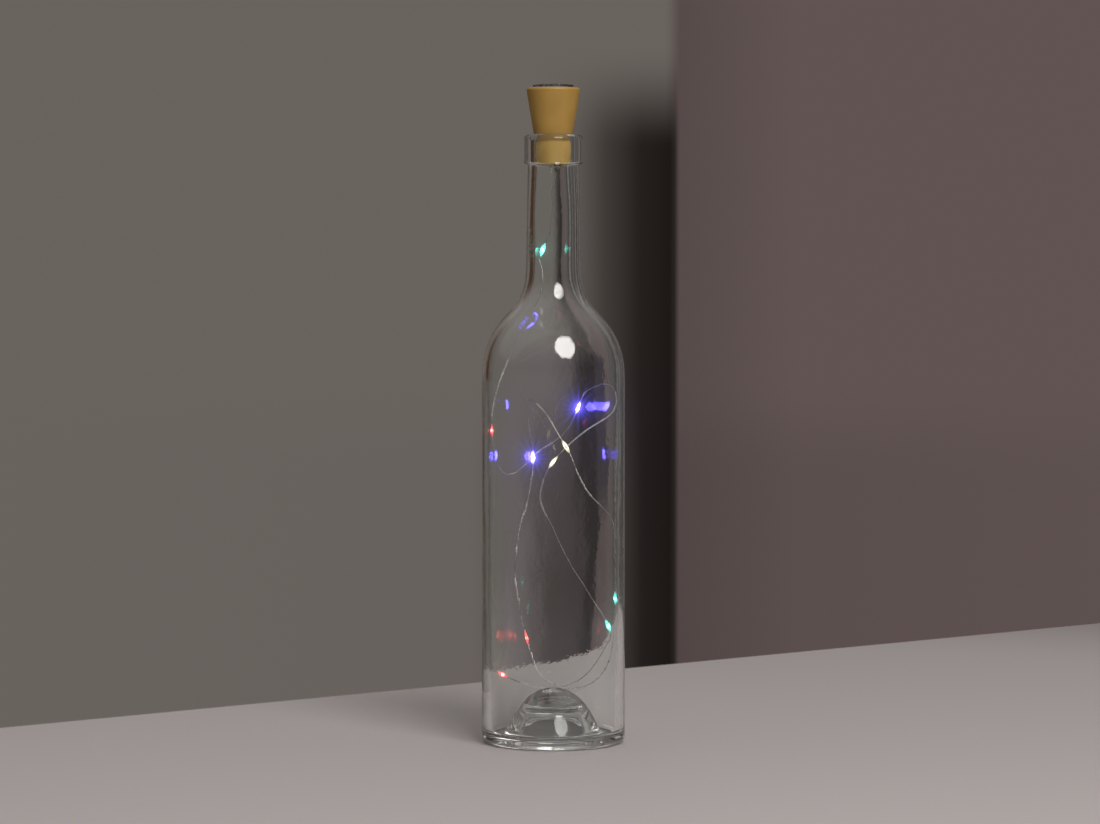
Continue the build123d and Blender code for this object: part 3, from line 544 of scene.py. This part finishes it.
def dress(obj, made):
    obj.data.materials.clear()
    obj.data.materials.append(made)


# bottle glass: clear, with the faint orange peel of blown glass on the inside, where no mould smooths it
glass, tree, bsdf = material("bottle_glass")
bsdf.inputs["Base Color"].default_value = (0.975, 0.992, 0.984, 1.0)
bsdf.inputs["Transmission Weight"].default_value = 1.0
bsdf.inputs["IOR"].default_value = 1.52
bsdf.inputs["Roughness"].default_value = 0.0
mould = tree.nodes.new("ShaderNodeAttribute")
mould.attribute_name = "peel"
peeled = node(tree, "ShaderNodeMath")
peeled.operation = "MULTIPLY"
tree.links.new(grain(tree, 460.0, 2.0, 0.55, (1.0, 1.0, 0.7)), peeled.inputs[0])
tree.links.new(mould.outputs["Fac"], peeled.inputs[1])
bump(tree, bsdf, peeled.outputs[0], 0.14, 0.0002)
dress(bottle, glass)

# stopper mouldings: satin, cork-coloured plastic with a fine spark-eroded texture; the plug is given a paler colour
# than the cap, painted light standing in for the light that reaches it through the glass
def cork_plastic(name, colour):
    made, tree, bsdf = material(name)
    patches = grain(tree, 110.0, 3.0)
    fine = grain(tree, 2600.0, 3.0, 0.7)
    mixed = node(tree, "ShaderNodeMath")
    mixed.operation = "ADD"
    tree.links.new(spread(tree, patches, 0.0, 0.6), mixed.inputs[0])
    tree.links.new(spread(tree, fine, 0.0, 0.4), mixed.inputs[1])
    tree.links.new(ramp(tree, mixed.outputs[0], (0.15, tone(colour, 0.93)), (0.85, tone(colour, 1.07))), bsdf.inputs["Base Color"])
    tree.links.new(spread(tree, patches, 0.40, 0.50), bsdf.inputs["Roughness"])
    bump(tree, bsdf, fine, 0.25, 0.00004)
    bsdf.inputs["Subsurface Weight"].default_value = 0.06
    bsdf.inputs["Subsurface Radius"].default_value = (0.0012, 0.0006, 0.0003)
    return made


dress(nodes["stopper_cap"], cork_plastic("cork_plastic", (0.405, 0.238, 0.054)))
# painted light: the plug's paler colour stands in for the light that reaches it through the glass
plug_painted_paler = cork_plastic("cork_plastic_plug", (0.74, 0.47, 0.125))
for name in ("plug_shell", "plug_end_cap"):
    dress(nodes[name], plug_painted_paler)

# gland: clear soft plastic, a little cloudy
gland, tree, bsdf = material("gland_vinyl")
tree.links.new(spread(tree, grain(tree, 900.0), 0.05, 0.16), bsdf.inputs["Roughness"])
bsdf.inputs["Base Color"].default_value = (0.90, 0.90, 0.88, 1.0)
bsdf.inputs["Transmission Weight"].default_value = 0.92
bsdf.inputs["IOR"].default_value = 1.46
bump(tree, bsdf, grain(tree, 500.0), 0.2, 0.00008)
let_light_through(gland, tree, bsdf, (0.9, 0.9, 0.88))
dress(nodes["wire_gland"], gland)

# solar panel: poured resin over blue-black cells with printed fingers
resin, tree, bsdf = material("panel_resin")
tree.links.new(spread(tree, grain(tree, 240.0), 0.02, 0.07), bsdf.inputs["Roughness"])
bsdf.inputs["Base Color"].default_value = (0.93, 0.95, 0.97, 1.0)
bsdf.inputs["Transmission Weight"].default_value = 1.0
bsdf.inputs["IOR"].default_value = 1.5
bump(tree, bsdf, grain(tree, 130.0), 0.12, 0.0001)
let_light_through(resin, tree, bsdf, (0.95, 0.96, 0.97))
dress(nodes["solar_resin"], resin)

silicon, tree, bsdf = material("silicon")
coords = tree.nodes.new("ShaderNodeTexCoord")
flakes = node(tree, "ShaderNodeTexVoronoi", Scale=700.0)
tree.links.new(coords.outputs["Object"], flakes.inputs["Vector"])
fingers = node(tree, "ShaderNodeTexWave", Scale=260.0, Distortion=0.0)
fingers.bands_direction = "Y"
tree.links.new(coords.outputs["Object"], fingers.inputs["Vector"])
crystal = ramp(tree, flakes.outputs["Color"], (0.2, (0.006, 0.010, 0.035)), (0.8, (0.016, 0.026, 0.085)))
printed = ramp(tree, fingers.outputs["Fac"], (0.955, (0.0, 0.0, 0.0)), (0.985, (1.0, 1.0, 1.0)))
cells = tree.nodes.new("ShaderNodeMix")
cells.data_type = "RGBA"
tree.links.new(printed, cells.inputs["Factor"])
tree.links.new(crystal, cells.inputs["A"])
cells.inputs["B"].default_value = (0.42, 0.43, 0.44, 1.0)
tree.links.new(cells.outputs["Result"], bsdf.inputs["Base Color"])
tree.links.new(spread(tree, flakes.outputs["Distance"], 0.16, 0.3), bsdf.inputs["Roughness"])
dress(nodes["solar_cells"], silicon)

# wire: silvered strands under thin enamel, paler and less metallic along the glint runs as painted glints, duller
# elsewhere, with fine random scuffs
silver, tree, bsdf = material("silver_wire")
painted_glint = tree.nodes.new("ShaderNodeAttribute")
painted_glint.attribute_name = "shine"
scuffs = grain(tree, 1600.0)
glint_and_scuffs = node(tree, "ShaderNodeMath")
glint_and_scuffs.operation = "MULTIPLY_ADD"
tree.links.new(painted_glint.outputs["Fac"], glint_and_scuffs.inputs[0])
glint_and_scuffs.inputs[1].default_value = 0.85
tree.links.new(spread(tree, scuffs, 0.0, 0.15), glint_and_scuffs.inputs[2])
# painted glints: where the shine attribute is high the colour turns near white and less metallic
tree.links.new(ramp(tree, glint_and_scuffs.outputs[0], (0.0, (0.60, 0.59, 0.57)), (0.75, (1.0, 0.99, 0.96))), bsdf.inputs["Base Color"])
tree.links.new(ramp(tree, glint_and_scuffs.outputs[0], (0.0, (0.15, 0.15, 0.15)), (1.0, (0.40, 0.40, 0.40))), bsdf.inputs["Roughness"])
tree.links.new(ramp(tree, glint_and_scuffs.outputs[0], (0.0, (0.72, 0.72, 0.72)), (0.75, (0.35, 0.35, 0.35))), bsdf.inputs["Metallic"])
bump(tree, bsdf, grain(tree, 4300.0, 3.0), 0.12, 0.00003)
dress(wire, silver)

# lamps: clear resin that glows from its chip outwards
LIT = {"green": (0.045, 0.62, 0.50), "red": (1.0, 0.060, 0.065), "blue": (0.11, 0.085, 1.0), "warm": (0.90, 0.88, 0.60)}
for name, (made, colour) in drops.items():
    if ("drop_" + colour) in bpy.data.materials:
        dress(made, bpy.data.materials["drop_" + colour])
        continue
    lit, tree, bsdf = material("drop_" + colour)
    glow = tree.nodes.new("ShaderNodeAttribute")
    glow.attribute_name = "glow"
    cloud = grain(tree, 900.0, 2.0)
    power = node(tree, "ShaderNodeMath")
    power.operation = "MULTIPLY"
    tree.links.new(glow.outputs["Fac"], power.inputs[0])
    tree.links.new(spread(tree, cloud, 0.75, 1.25), power.inputs[1])
    tree.links.new(power.outputs[0], bsdf.inputs["Emission Strength"])
    bsdf.inputs["Emission Color"].default_value = (*LIT[colour], 1.0)
    pale = tuple(0.7 + 0.3 * c for c in LIT[colour])
    tree.links.new(ramp(tree, cloud, (0.3, tone(pale, 0.85)), (0.7, pale)), bsdf.inputs["Base Color"])
    tree.links.new(spread(tree, cloud, 0.05, 0.14), bsdf.inputs["Roughness"])
    bsdf.inputs["Transmission Weight"].default_value = 0.5
    bsdf.inputs["IOR"].default_value = 1.5
    bump(tree, bsdf, cloud, 0.2, 0.0001)
    dress(made, lit)

chip = finish("led_chip", (0.90, 0.86, 0.62), 0.5, scale=4000.0, vary=0.08, Emission_Color=(1.0, 0.97, 0.85, 1.0), Emission_Strength=2.0)
for name in ("led_chips", "led_chip_neck"):
    dress(nodes[name], chip)

# pieces in the stopper
INSIDE = {
    "panel_seal": finish("foam_tape", (0.03, 0.03, 0.032), 0.9, scale=3000.0, vary=0.35, strength=0.8, depth=0.0002),
    "solar_board": finish("panel_laminate", (0.012, 0.012, 0.014), 0.45, scale=1200.0, vary=0.2),
    "control_board": finish("solder_mask", (0.02, 0.16, 0.05), 0.32, scale=420.0, vary=0.3, strength=0.3, Coat_Weight=0.3),
    "driver_chip": finish("chip_epoxy", (0.022, 0.022, 0.024), 0.55, scale=2600.0, vary=0.25, strength=0.4),
    "chip_resistors": finish("chip_body", (0.03, 0.03, 0.034), 0.4, scale=2200.0, vary=0.3),
    "inductor_core": finish("ferrite", (0.065, 0.060, 0.060), 0.6, scale=1800.0, vary=0.25, strength=0.5),
    "inductor_winding": finish("enamelled_copper", (0.80, 0.34, 0.14), 0.28, scale=900.0, vary=0.15, metal=1.0, Coat_Weight=0.6),
    "battery_cells": finish("nickel_can", (0.68, 0.66, 0.61), 0.26, scale=700.0, vary=0.08, metal=1.0),
    "battery_tabs": finish("nickel_strip", (0.70, 0.68, 0.62), 0.34, scale=1500.0, vary=0.1, metal=1.0),
    "battery_sleeve": finish("shrink_sleeve", (0.03, 0.16, 0.07), 0.25, scale=500.0, vary=0.12, strength=0.3),
    "switch_case": finish("switch_shell", (0.62, 0.62, 0.61), 0.3, scale=900.0, vary=0.1, metal=1.0),
    "switch_slider": finish("slider_nylon", (0.025, 0.025, 0.027), 0.42, scale=2400.0, vary=0.2, strength=0.3),
    "panel_lead_red": finish("lead_red", (0.50, 0.025, 0.02), 0.35, scale=900.0, vary=0.12),
    "panel_lead_black": finish("lead_black", (0.02, 0.02, 0.021), 0.35, scale=900.0, vary=0.2),
    "string_leads": finish("lead_white", (0.70, 0.69, 0.64), 0.35, scale=900.0, vary=0.08),
    "switch_leads": finish("lead_yellow", (0.62, 0.40, 0.04), 0.35, scale=900.0, vary=0.12),
    "solar_busbars": finish("tinned_ribbon", (0.80, 0.80, 0.78), 0.3, scale=2000.0, vary=0.1, metal=1.0),
}
INSIDE["battery_lead_red"] = INSIDE["panel_lead_red"]
INSIDE["battery_lead_black"] = INSIDE["panel_lead_black"]
INSIDE["chip_legs"] = INSIDE["switch_terminals"] = INSIDE["solar_busbars"]
for name, made in INSIDE.items():
    dress(nodes[name], made)

# ---------------------------------------------------------------- stage: floor, backdrop and light

DUSK = (0.055, 0.050, 0.047)  # the room that the bottle faces, low down


def share(tree, value, low, high, smooth=False):
    made = node(tree, "ShaderNodeMapRange", From_Min=low, From_Max=high, To_Min=0.0, To_Max=1.0)
    if smooth:
        made.interpolation_type = "SMOOTHSTEP"
    tree.links.new(value, made.inputs["Value"])
    return made.outputs["Result"]


def mirrored(tree):
    """1 for what is seen in a reflection."""
    path = tree.nodes.new("ShaderNodeLightPath")
    return share(tree, path.outputs["Glossy Depth"], 0.4, 0.6)


FLOOR_R, RINGS, SPOKES = 1.05, 30, 96
points = [(0.0, 0.0, 0.0)] + [
    (FLOOR_R * (k / RINGS) * math.cos(2 * math.pi * j / SPOKES), FLOOR_R * (k / RINGS) * math.sin(2 * math.pi * j / SPOKES), 0.0)
    for k in range(1, RINGS + 1) for j in range(SPOKES)
]
points = [(x, y, -0.0002) for x, y, _ in points]
faces = [(0, 1 + j, 1 + (j + 1) % SPOKES) for j in range(SPOKES)]
for k in range(RINGS - 1):
    q = 1 + k * SPOKES
    faces += [(q + j, q + SPOKES + j, q + SPOKES + (j + 1) % SPOKES, q + (j + 1) % SPOKES) for j in range(SPOKES)]
FRONT_Y = -0.10
floor = new_object("floor", points, faces)
pale, tree, bsdf = material("pale_floor")
speck = grain(tree, 1400.0, 3.0)
tree.links.new(ramp(tree, speck, (0.3, (0.475, 0.438, 0.442)), (0.7, (0.505, 0.466, 0.470))), bsdf.inputs["Base Color"])
bsdf.inputs["Roughness"].default_value = 0.6
bump(tree, bsdf, speck, 0.05, 0.0001)
# the floor ends behind the bottle and fades out in front of it
coords = tree.nodes.new("ShaderNodeTexCoord")
reach = tree.nodes.new("ShaderNodeVectorMath")
reach.operation = "LENGTH"
tree.links.new(coords.outputs["Object"], reach.inputs[0])
behind = tree.nodes.new("ShaderNodeVectorMath")
behind.operation = "DOT_PRODUCT"
behind.inputs[1].default_value = (-0.617, 0.787, 0.0)
tree.links.new(coords.outputs["Object"], behind.inputs[0])
ends = []
for value, start, end in ((reach, 0.45, 1.02), (behind, 0.221, 0.227)):
    fade = node(tree, "ShaderNodeMapRange", From_Min=start, From_Max=end, To_Min=0.0, To_Max=1.0)
    fade.interpolation_type = "SMOOTHSTEP"
    tree.links.new(value.outputs["Value"], fade.inputs["Value"])
    ends.append(fade.outputs["Result"])
most = tree.nodes.new("ShaderNodeMath")
most.operation = "MAXIMUM"
tree.links.new(ends[0], most.inputs[0])
tree.links.new(ends[1], most.inputs[1])
clear = tree.nodes.new("ShaderNodeBsdfTransparent")
mix = tree.nodes.new("ShaderNodeMixShader")
tree.links.new(most.outputs[0], mix.inputs[0])
tree.links.new(bsdf.outputs["BSDF"], mix.inputs[1])
tree.links.new(clear.outputs["BSDF"], mix.inputs[2])
# mirrored in the glass, the floor grows dim towards the front
split = tree.nodes.new("ShaderNodeSeparateXYZ")
tree.links.new(coords.outputs["Object"], split.inputs["Vector"])
dim = tree.nodes.new("ShaderNodeEmission")
tree.links.new(
    ramp(tree, share(tree, split.outputs["Y"], -0.85, FRONT_Y), (0.0, DUSK), (0.35, (0.075, 0.069, 0.066)), (0.75, (0.135, 0.125, 0.121)), (1.0, (0.20, 0.186, 0.182))),
    dim.inputs["Color"],
)
in_front = tree.nodes.new("ShaderNodeMath")
in_front.operation = "MULTIPLY"
tree.links.new(mirrored(tree), in_front.inputs[0])
tree.links.new(share(tree, split.outputs["Y"], FRONT_Y + 0.02, FRONT_Y - 0.02, True), in_front.inputs[1])
mix2 = tree.nodes.new("ShaderNodeMixShader")
tree.links.new(in_front.outputs[0], mix2.inputs[0])
tree.links.new(mix.outputs["Shader"], mix2.inputs[1])
tree.links.new(dim.outputs["Emission"], mix2.inputs[2])
tree.links.new(mix2.outputs["Shader"], tree.nodes["Material Output"].inputs["Surface"])
dress(floor, pale)

# backdrop: warm grey, falling off into shade behind the bottle's right side, with a browner panel beyond
GREY, BROWN, SHADE, ROOM = (0.142, 0.126, 0.113), (0.118, 0.087, 0.083), (0.012, 0.009, 0.0075), (0.125, 0.116, 0.107)
PALE, RUST = (0.22, 0.20, 0.19), (0.075, 0.042, 0.022)
SPAN = 10.0  # degrees to either side in which the backdrop is given finely
NEAR = [
    (-10.0, GREY), (-0.3, GREY), (0.45, (0.105, 0.092, 0.083)), (0.9, (0.052, 0.043, 0.039)), (1.45, (0.019, 0.014, 0.0125)),
    (2.02, SHADE), (2.10, (0.095, 0.070, 0.068)), (4.0, BROWN), (10.0, BROWN),
]
LOW = [
    (-10.0, GREY), (-1.3, (0.138, 0.121, 0.111)), (-0.9, (0.120, 0.104, 0.096)), (-0.6, (0.108, 0.092, 0.085)), (-0.34, (0.082, 0.069, 0.063)),
    (-0.05, (0.067, 0.056, 0.051)), (0.5, (0.058, 0.048, 0.044)), (1.0, (0.052, 0.042, 0.039)), (1.25, (0.036, 0.029, 0.027)), (1.5, (0.017, 0.013, 0.012)),
    (2.02, SHADE), (2.10, (0.082, 0.061, 0.058)), (4.0, (0.104, 0.077, 0.073)), (10.0, (0.112, 0.083, 0.079)),
]
ABOVE = [(-10.0, GREY), (1.9, GREY), (2.10, (0.095, 0.070, 0.068)), (4.0, BROWN), (10.0, BROWN)]
RISE = (-0.066, -0.036, 0.028, 0.058)  # slopes of the view at which LOW ends, NEAR starts and ends, and ABOVE starts
RIGHT = [
    (10.0, (0.085, 0.076, 0.075)), (12.3, (0.085, 0.076, 0.075)), (14.2, (0.044, 0.038, 0.037)), (16.5, (0.072, 0.066, 0.064)), (18.0, PALE), (19.5, PALE),
    (21.0, (0.075, 0.069, 0.067)), (24.5, (0.070, 0.064, 0.062)), (27.5, (0.040, 0.036, 0.034)), (34.0, (0.050, 0.046, 0.043)), (37.0, (0.15, 0.137, 0.13)), (42.0, (0.15, 0.137, 0.13)),
    (48.0, (0.060, 0.055, 0.051)), (90.0, ROOM), (180.0, ROOM),
]
AROUND = [
    (-180.0, ROOM), (-95.0, ROOM), (-60.0, (0.095, 0.089, 0.080)), (-40.0, (0.125, 0.116, 0.104)), (-29.0, (0.105, 0.092, 0.078)), (-27.5, (0.030, 0.024, 0.017)),
    (-24.5, (0.036, 0.026, 0.017)), (-20.5, RUST), (-18.5, (0.105, 0.090, 0.076)), (-15.0, (0.148, 0.138, 0.131)), (-10.0, GREY),
] + RIGHT
AROUND_HIGH = [
    (-180.0, ROOM), (-95.0, ROOM), (-72.0, (0.080, 0.070, 0.060)), (-61.0, (0.10, 0.078, 0.060)), (-57.0, (0.045, 0.022, 0.011)), (-33.0, (0.045, 0.022, 0.011)),
    (-29.0, (0.16, 0.115, 0.088)), (-25.0, (0.150, 0.128, 0.112)), (-15.0, (0.148, 0.136, 0.128)), (-10.0, GREY),
] + RIGHT


def shades(tree, factor, stops, half):
    """A ramp over that many degrees to either side of the view."""
    return ramp(tree, factor, *(((degrees + half) / (2 * half), colour) for degrees, colour in stops))


def between(tree, factor, a, b):
    made = tree.nodes.new("ShaderNodeMix")
    made.data_type = "RGBA"
    tree.links.new(factor, made.inputs["Factor"])
    tree.links.new(a, made.inputs["A"])
    if isinstance(b, tuple):
        made.inputs["B"].default_value = (*b, 1.0)
    else:
        tree.links.new(b, made.inputs["B"])
    return made.outputs["Result"]


def straight_ahead(tree, fine, height, rises):
    """The backdrop from low to high: its shade is deepest low down and thins out above the bottle."""
    lower = between(tree, share(tree, height, rises[0], rises[1], True), shades(tree, fine, LOW, SPAN), shades(tree, fine, NEAR, SPAN))
    return between(tree, share(tree, height, rises[2], rises[3], True), lower, shades(tree, fine, ABOVE, SPAN))


world = bpy.data.worlds.new("backdrop")
scene.world = world
world.use_nodes = True
tree = world.node_tree
coords = tree.nodes.new("ShaderNodeTexCoord")
split = tree.nodes.new("ShaderNodeSeparateXYZ")
tree.links.new(coords.outputs["Generated"], split.inputs["Vector"])
turn = tree.nodes.new("ShaderNodeMath")
turn.operation = "ARCTAN2"
tree.links.new(split.outputs["X"], turn.inputs[0])
tree.links.new(split.outputs["Y"], turn.inputs[1])
bearing = turn.outputs[0]
fine = share(tree, bearing, -math.radians(SPAN), math.radians(SPAN))
wide = share(tree, bearing, -math.pi, math.pi)
ahead = straight_ahead(tree, fine, split.outputs["Z"], RISE)
off = tree.nodes.new("ShaderNodeMath")
off.operation = "ABSOLUTE"
tree.links.new(bearing, off.inputs[0])
sides = between(tree, share(tree, split.outputs["Z"], -0.034, -0.016, True), shades(tree, wide, AROUND, 180.0), shades(tree, wide, AROUND_HIGH, 180.0))
room = between(tree, share(tree, off.outputs[0], math.radians(9.4), math.radians(9.9)), ahead, sides)
# beside the bottle the backdrop goes over into plain grey; its stripes further round are for the glass to bend and mirror
beside = between(tree, share(tree, off.outputs[0], math.radians(8.0), math.radians(24.0), True), ahead, ROOM)
path = tree.nodes.new("ShaderNodeLightPath")
room = between(tree, path.outputs["Is Camera Ray"], room, beside)
# below, on the near side, the floor runs on
under = node(tree, "ShaderNodeMath")
under.operation = "MULTIPLY"
tree.links.new(share(tree, split.outputs["Z"], -0.03, -0.20, True), under.inputs[0])
tree.links.new(share(tree, split.outputs["Y"], 0.2, -0.1, True), under.inputs[1])
pale_floor = tree.nodes.new("ShaderNodeRGB")
pale_floor.outputs[0].default_value = (0.27, 0.25, 0.25, 1.0)
room = between(tree, under.outputs[0], room, between(tree, mirrored(tree), pale_floor.outputs[0], DUSK))
# the ceiling is pale
room = between(tree, share(tree, split.outputs["Z"], 0.12, 1.0, True), room, (0.46, 0.44, 0.42))
tree.links.new(room, tree.nodes["Background"].inputs["Color"])
tree.nodes["Background"].inputs["Strength"].default_value = 1.0

# the same backdrop at its own distance, for what is seen of it through the glass
BACK_Y, BACK_LEFT, BACK_RIGHT, BACK_TOP = 1.20, -0.17, 0.19, 0.80
sheet = new_object(
    "backdrop", [(BACK_LEFT, BACK_Y, -0.30), (BACK_RIGHT, BACK_Y, -0.30), (BACK_RIGHT, BACK_Y, BACK_TOP), (BACK_LEFT, BACK_Y, BACK_TOP)], [(0, 1, 2, 3)], smooth=False,
)
for rays_off in ("visible_camera", "visible_diffuse", "visible_shadow", "visible_volume_scatter"):
    setattr(sheet, rays_off, False)
cloth = bpy.data.materials.new("backdrop")
cloth.use_nodes = True
tree = cloth.node_tree
tree.nodes.remove(tree.nodes["Principled BSDF"])
coords = tree.nodes.new("ShaderNodeTexCoord")
split = tree.nodes.new("ShaderNodeSeparateXYZ")
tree.links.new(coords.outputs["Object"], split.inputs["Vector"])
reach = (BACK_Y - eye.y) * math.tan(math.radians(SPAN))
fine = share(tree, split.outputs["X"], eye.x - reach, eye.x + reach)
ahead = straight_ahead(tree, fine, split.outputs["Z"], [eye.z + (BACK_Y - eye.y) * rise for rise in RISE])
# the panel on the right is in shade at the height of the bottle's body
deep = BACK_Y - eye.y
shaded = share(tree, split.outputs["X"], eye.x + deep * math.tan(math.radians(2.03)), eye.x + deep * math.tan(math.radians(2.12)))
for low, high in ((-0.080, -0.066), (-0.0145, -0.0231)):
    both = tree.nodes.new("ShaderNodeMath")
    both.operation = "MULTIPLY"
    tree.links.new(shaded, both.inputs[0])
    tree.links.new(share(tree, split.outputs["Z"], eye.z + deep * low, eye.z + deep * high, True), both.inputs[1])
    shaded = both.outputs[0]
ahead = between(tree, shaded, ahead, (0.034, 0.027, 0.030))
# lower down the backdrop is a little pinker: painted light, standing in for the haze of the blue lamps seen through the
# glass
lamp_haze_tint = tree.nodes.new("ShaderNodeMix")
lamp_haze_tint.data_type = "RGBA"
lamp_haze_tint.blend_type = "MULTIPLY"
tree.links.new(share(tree, split.outputs["Z"], eye.z - deep * 0.0145, eye.z - deep * 0.0231, True), lamp_haze_tint.inputs["Factor"])
tree.links.new(ahead, lamp_haze_tint.inputs["A"])
lamp_haze_tint.inputs["B"].default_value = (0.99, 0.94, 1.04, 1.0)
ahead = lamp_haze_tint.outputs["Result"]
shine = node(tree, "ShaderNodeEmission", Strength=1.0)
tree.links.new(ahead, shine.inputs["Color"])
tree.links.new(shine.outputs["Emission"], tree.nodes["Material Output"].inputs["Surface"])
dress(sheet, cloth)

# key light: one eight-sided softbox, in front and to the right
KEY = Vector((0.50, -1.16, 1.23))
aim = (Vector((0.0, 0.0, 0.17)) - KEY).to_track_quat("-Z", "Y")
softbox = new_object(
    "softbox", [KEY + aim @ Vector((0.48 * math.cos(math.radians(12.0 + 45 * k)), 0.48 * math.sin(math.radians(12.0 + 45 * k)), 0.0)) for k in range(8)],
    [tuple(reversed(range(8)))], smooth=False,
)
softbox.visible_camera = False
lamp_cloth = bpy.data.materials.new("softbox")
lamp_cloth.use_nodes = True
tree = lamp_cloth.node_tree
tree.nodes.remove(tree.nodes["Principled BSDF"])
shine = node(tree, "ShaderNodeEmission", Color=(1.0, 0.97, 0.94, 1.0), Strength=9.5)
tree.links.new(shine.outputs["Emission"], tree.nodes["Material Output"].inputs["Surface"])
dress(softbox, lamp_cloth)

scene.view_settings.view_transform = "Standard"
scene.cycles.caustics_refractive = True
scene.cycles.caustics_reflective = True
scene.cycles.sample_clamp_indirect = 10.0
scene.cycles.max_bounces = 24
scene.cycles.transmission_bounces = 24
scene.cycles.glossy_bounces = 12
scene.cycles.transparent_max_bounces = 24

# halo of the lamps
scene.use_nodes = True
tree = scene.node_tree
tree.nodes.clear()
layers = tree.nodes.new("CompositorNodeRLayers")
halo = tree.nodes.new("CompositorNodeGlare")
halo.glare_type = "BLOOM"
halo.quality = "HIGH"
halo.inputs["Threshold"].default_value = 1.2
halo.inputs["Clamp"].default_value = True
halo.inputs["Maximum"].default_value = 30.0
halo.inputs["Strength"].default_value = 0.35
halo.inputs["Size"].default_value = 0.25
rays = tree.nodes.new("CompositorNodeGlare")
rays.glare_type = "STREAKS"
rays.quality = "HIGH"
rays.inputs["Threshold"].default_value = 20.0
rays.inputs["Clamp"].default_value = True
rays.inputs["Maximum"].default_value = 60.0
rays.inputs["Strength"].default_value = 0.30
rays.inputs["Streaks"].default_value = 16
rays.inputs["Iterations"].default_value = 3
rays.inputs["Fade"].default_value = 0.85
tree.links.new(halo.outputs["Image"], rays.inputs["Image"])
done = tree.nodes.new("CompositorNodeComposite")
tree.links.new(layers.outputs["Image"], halo.inputs["Image"])
tree.links.new(rays.outputs["Image"], done.inputs["Image"])
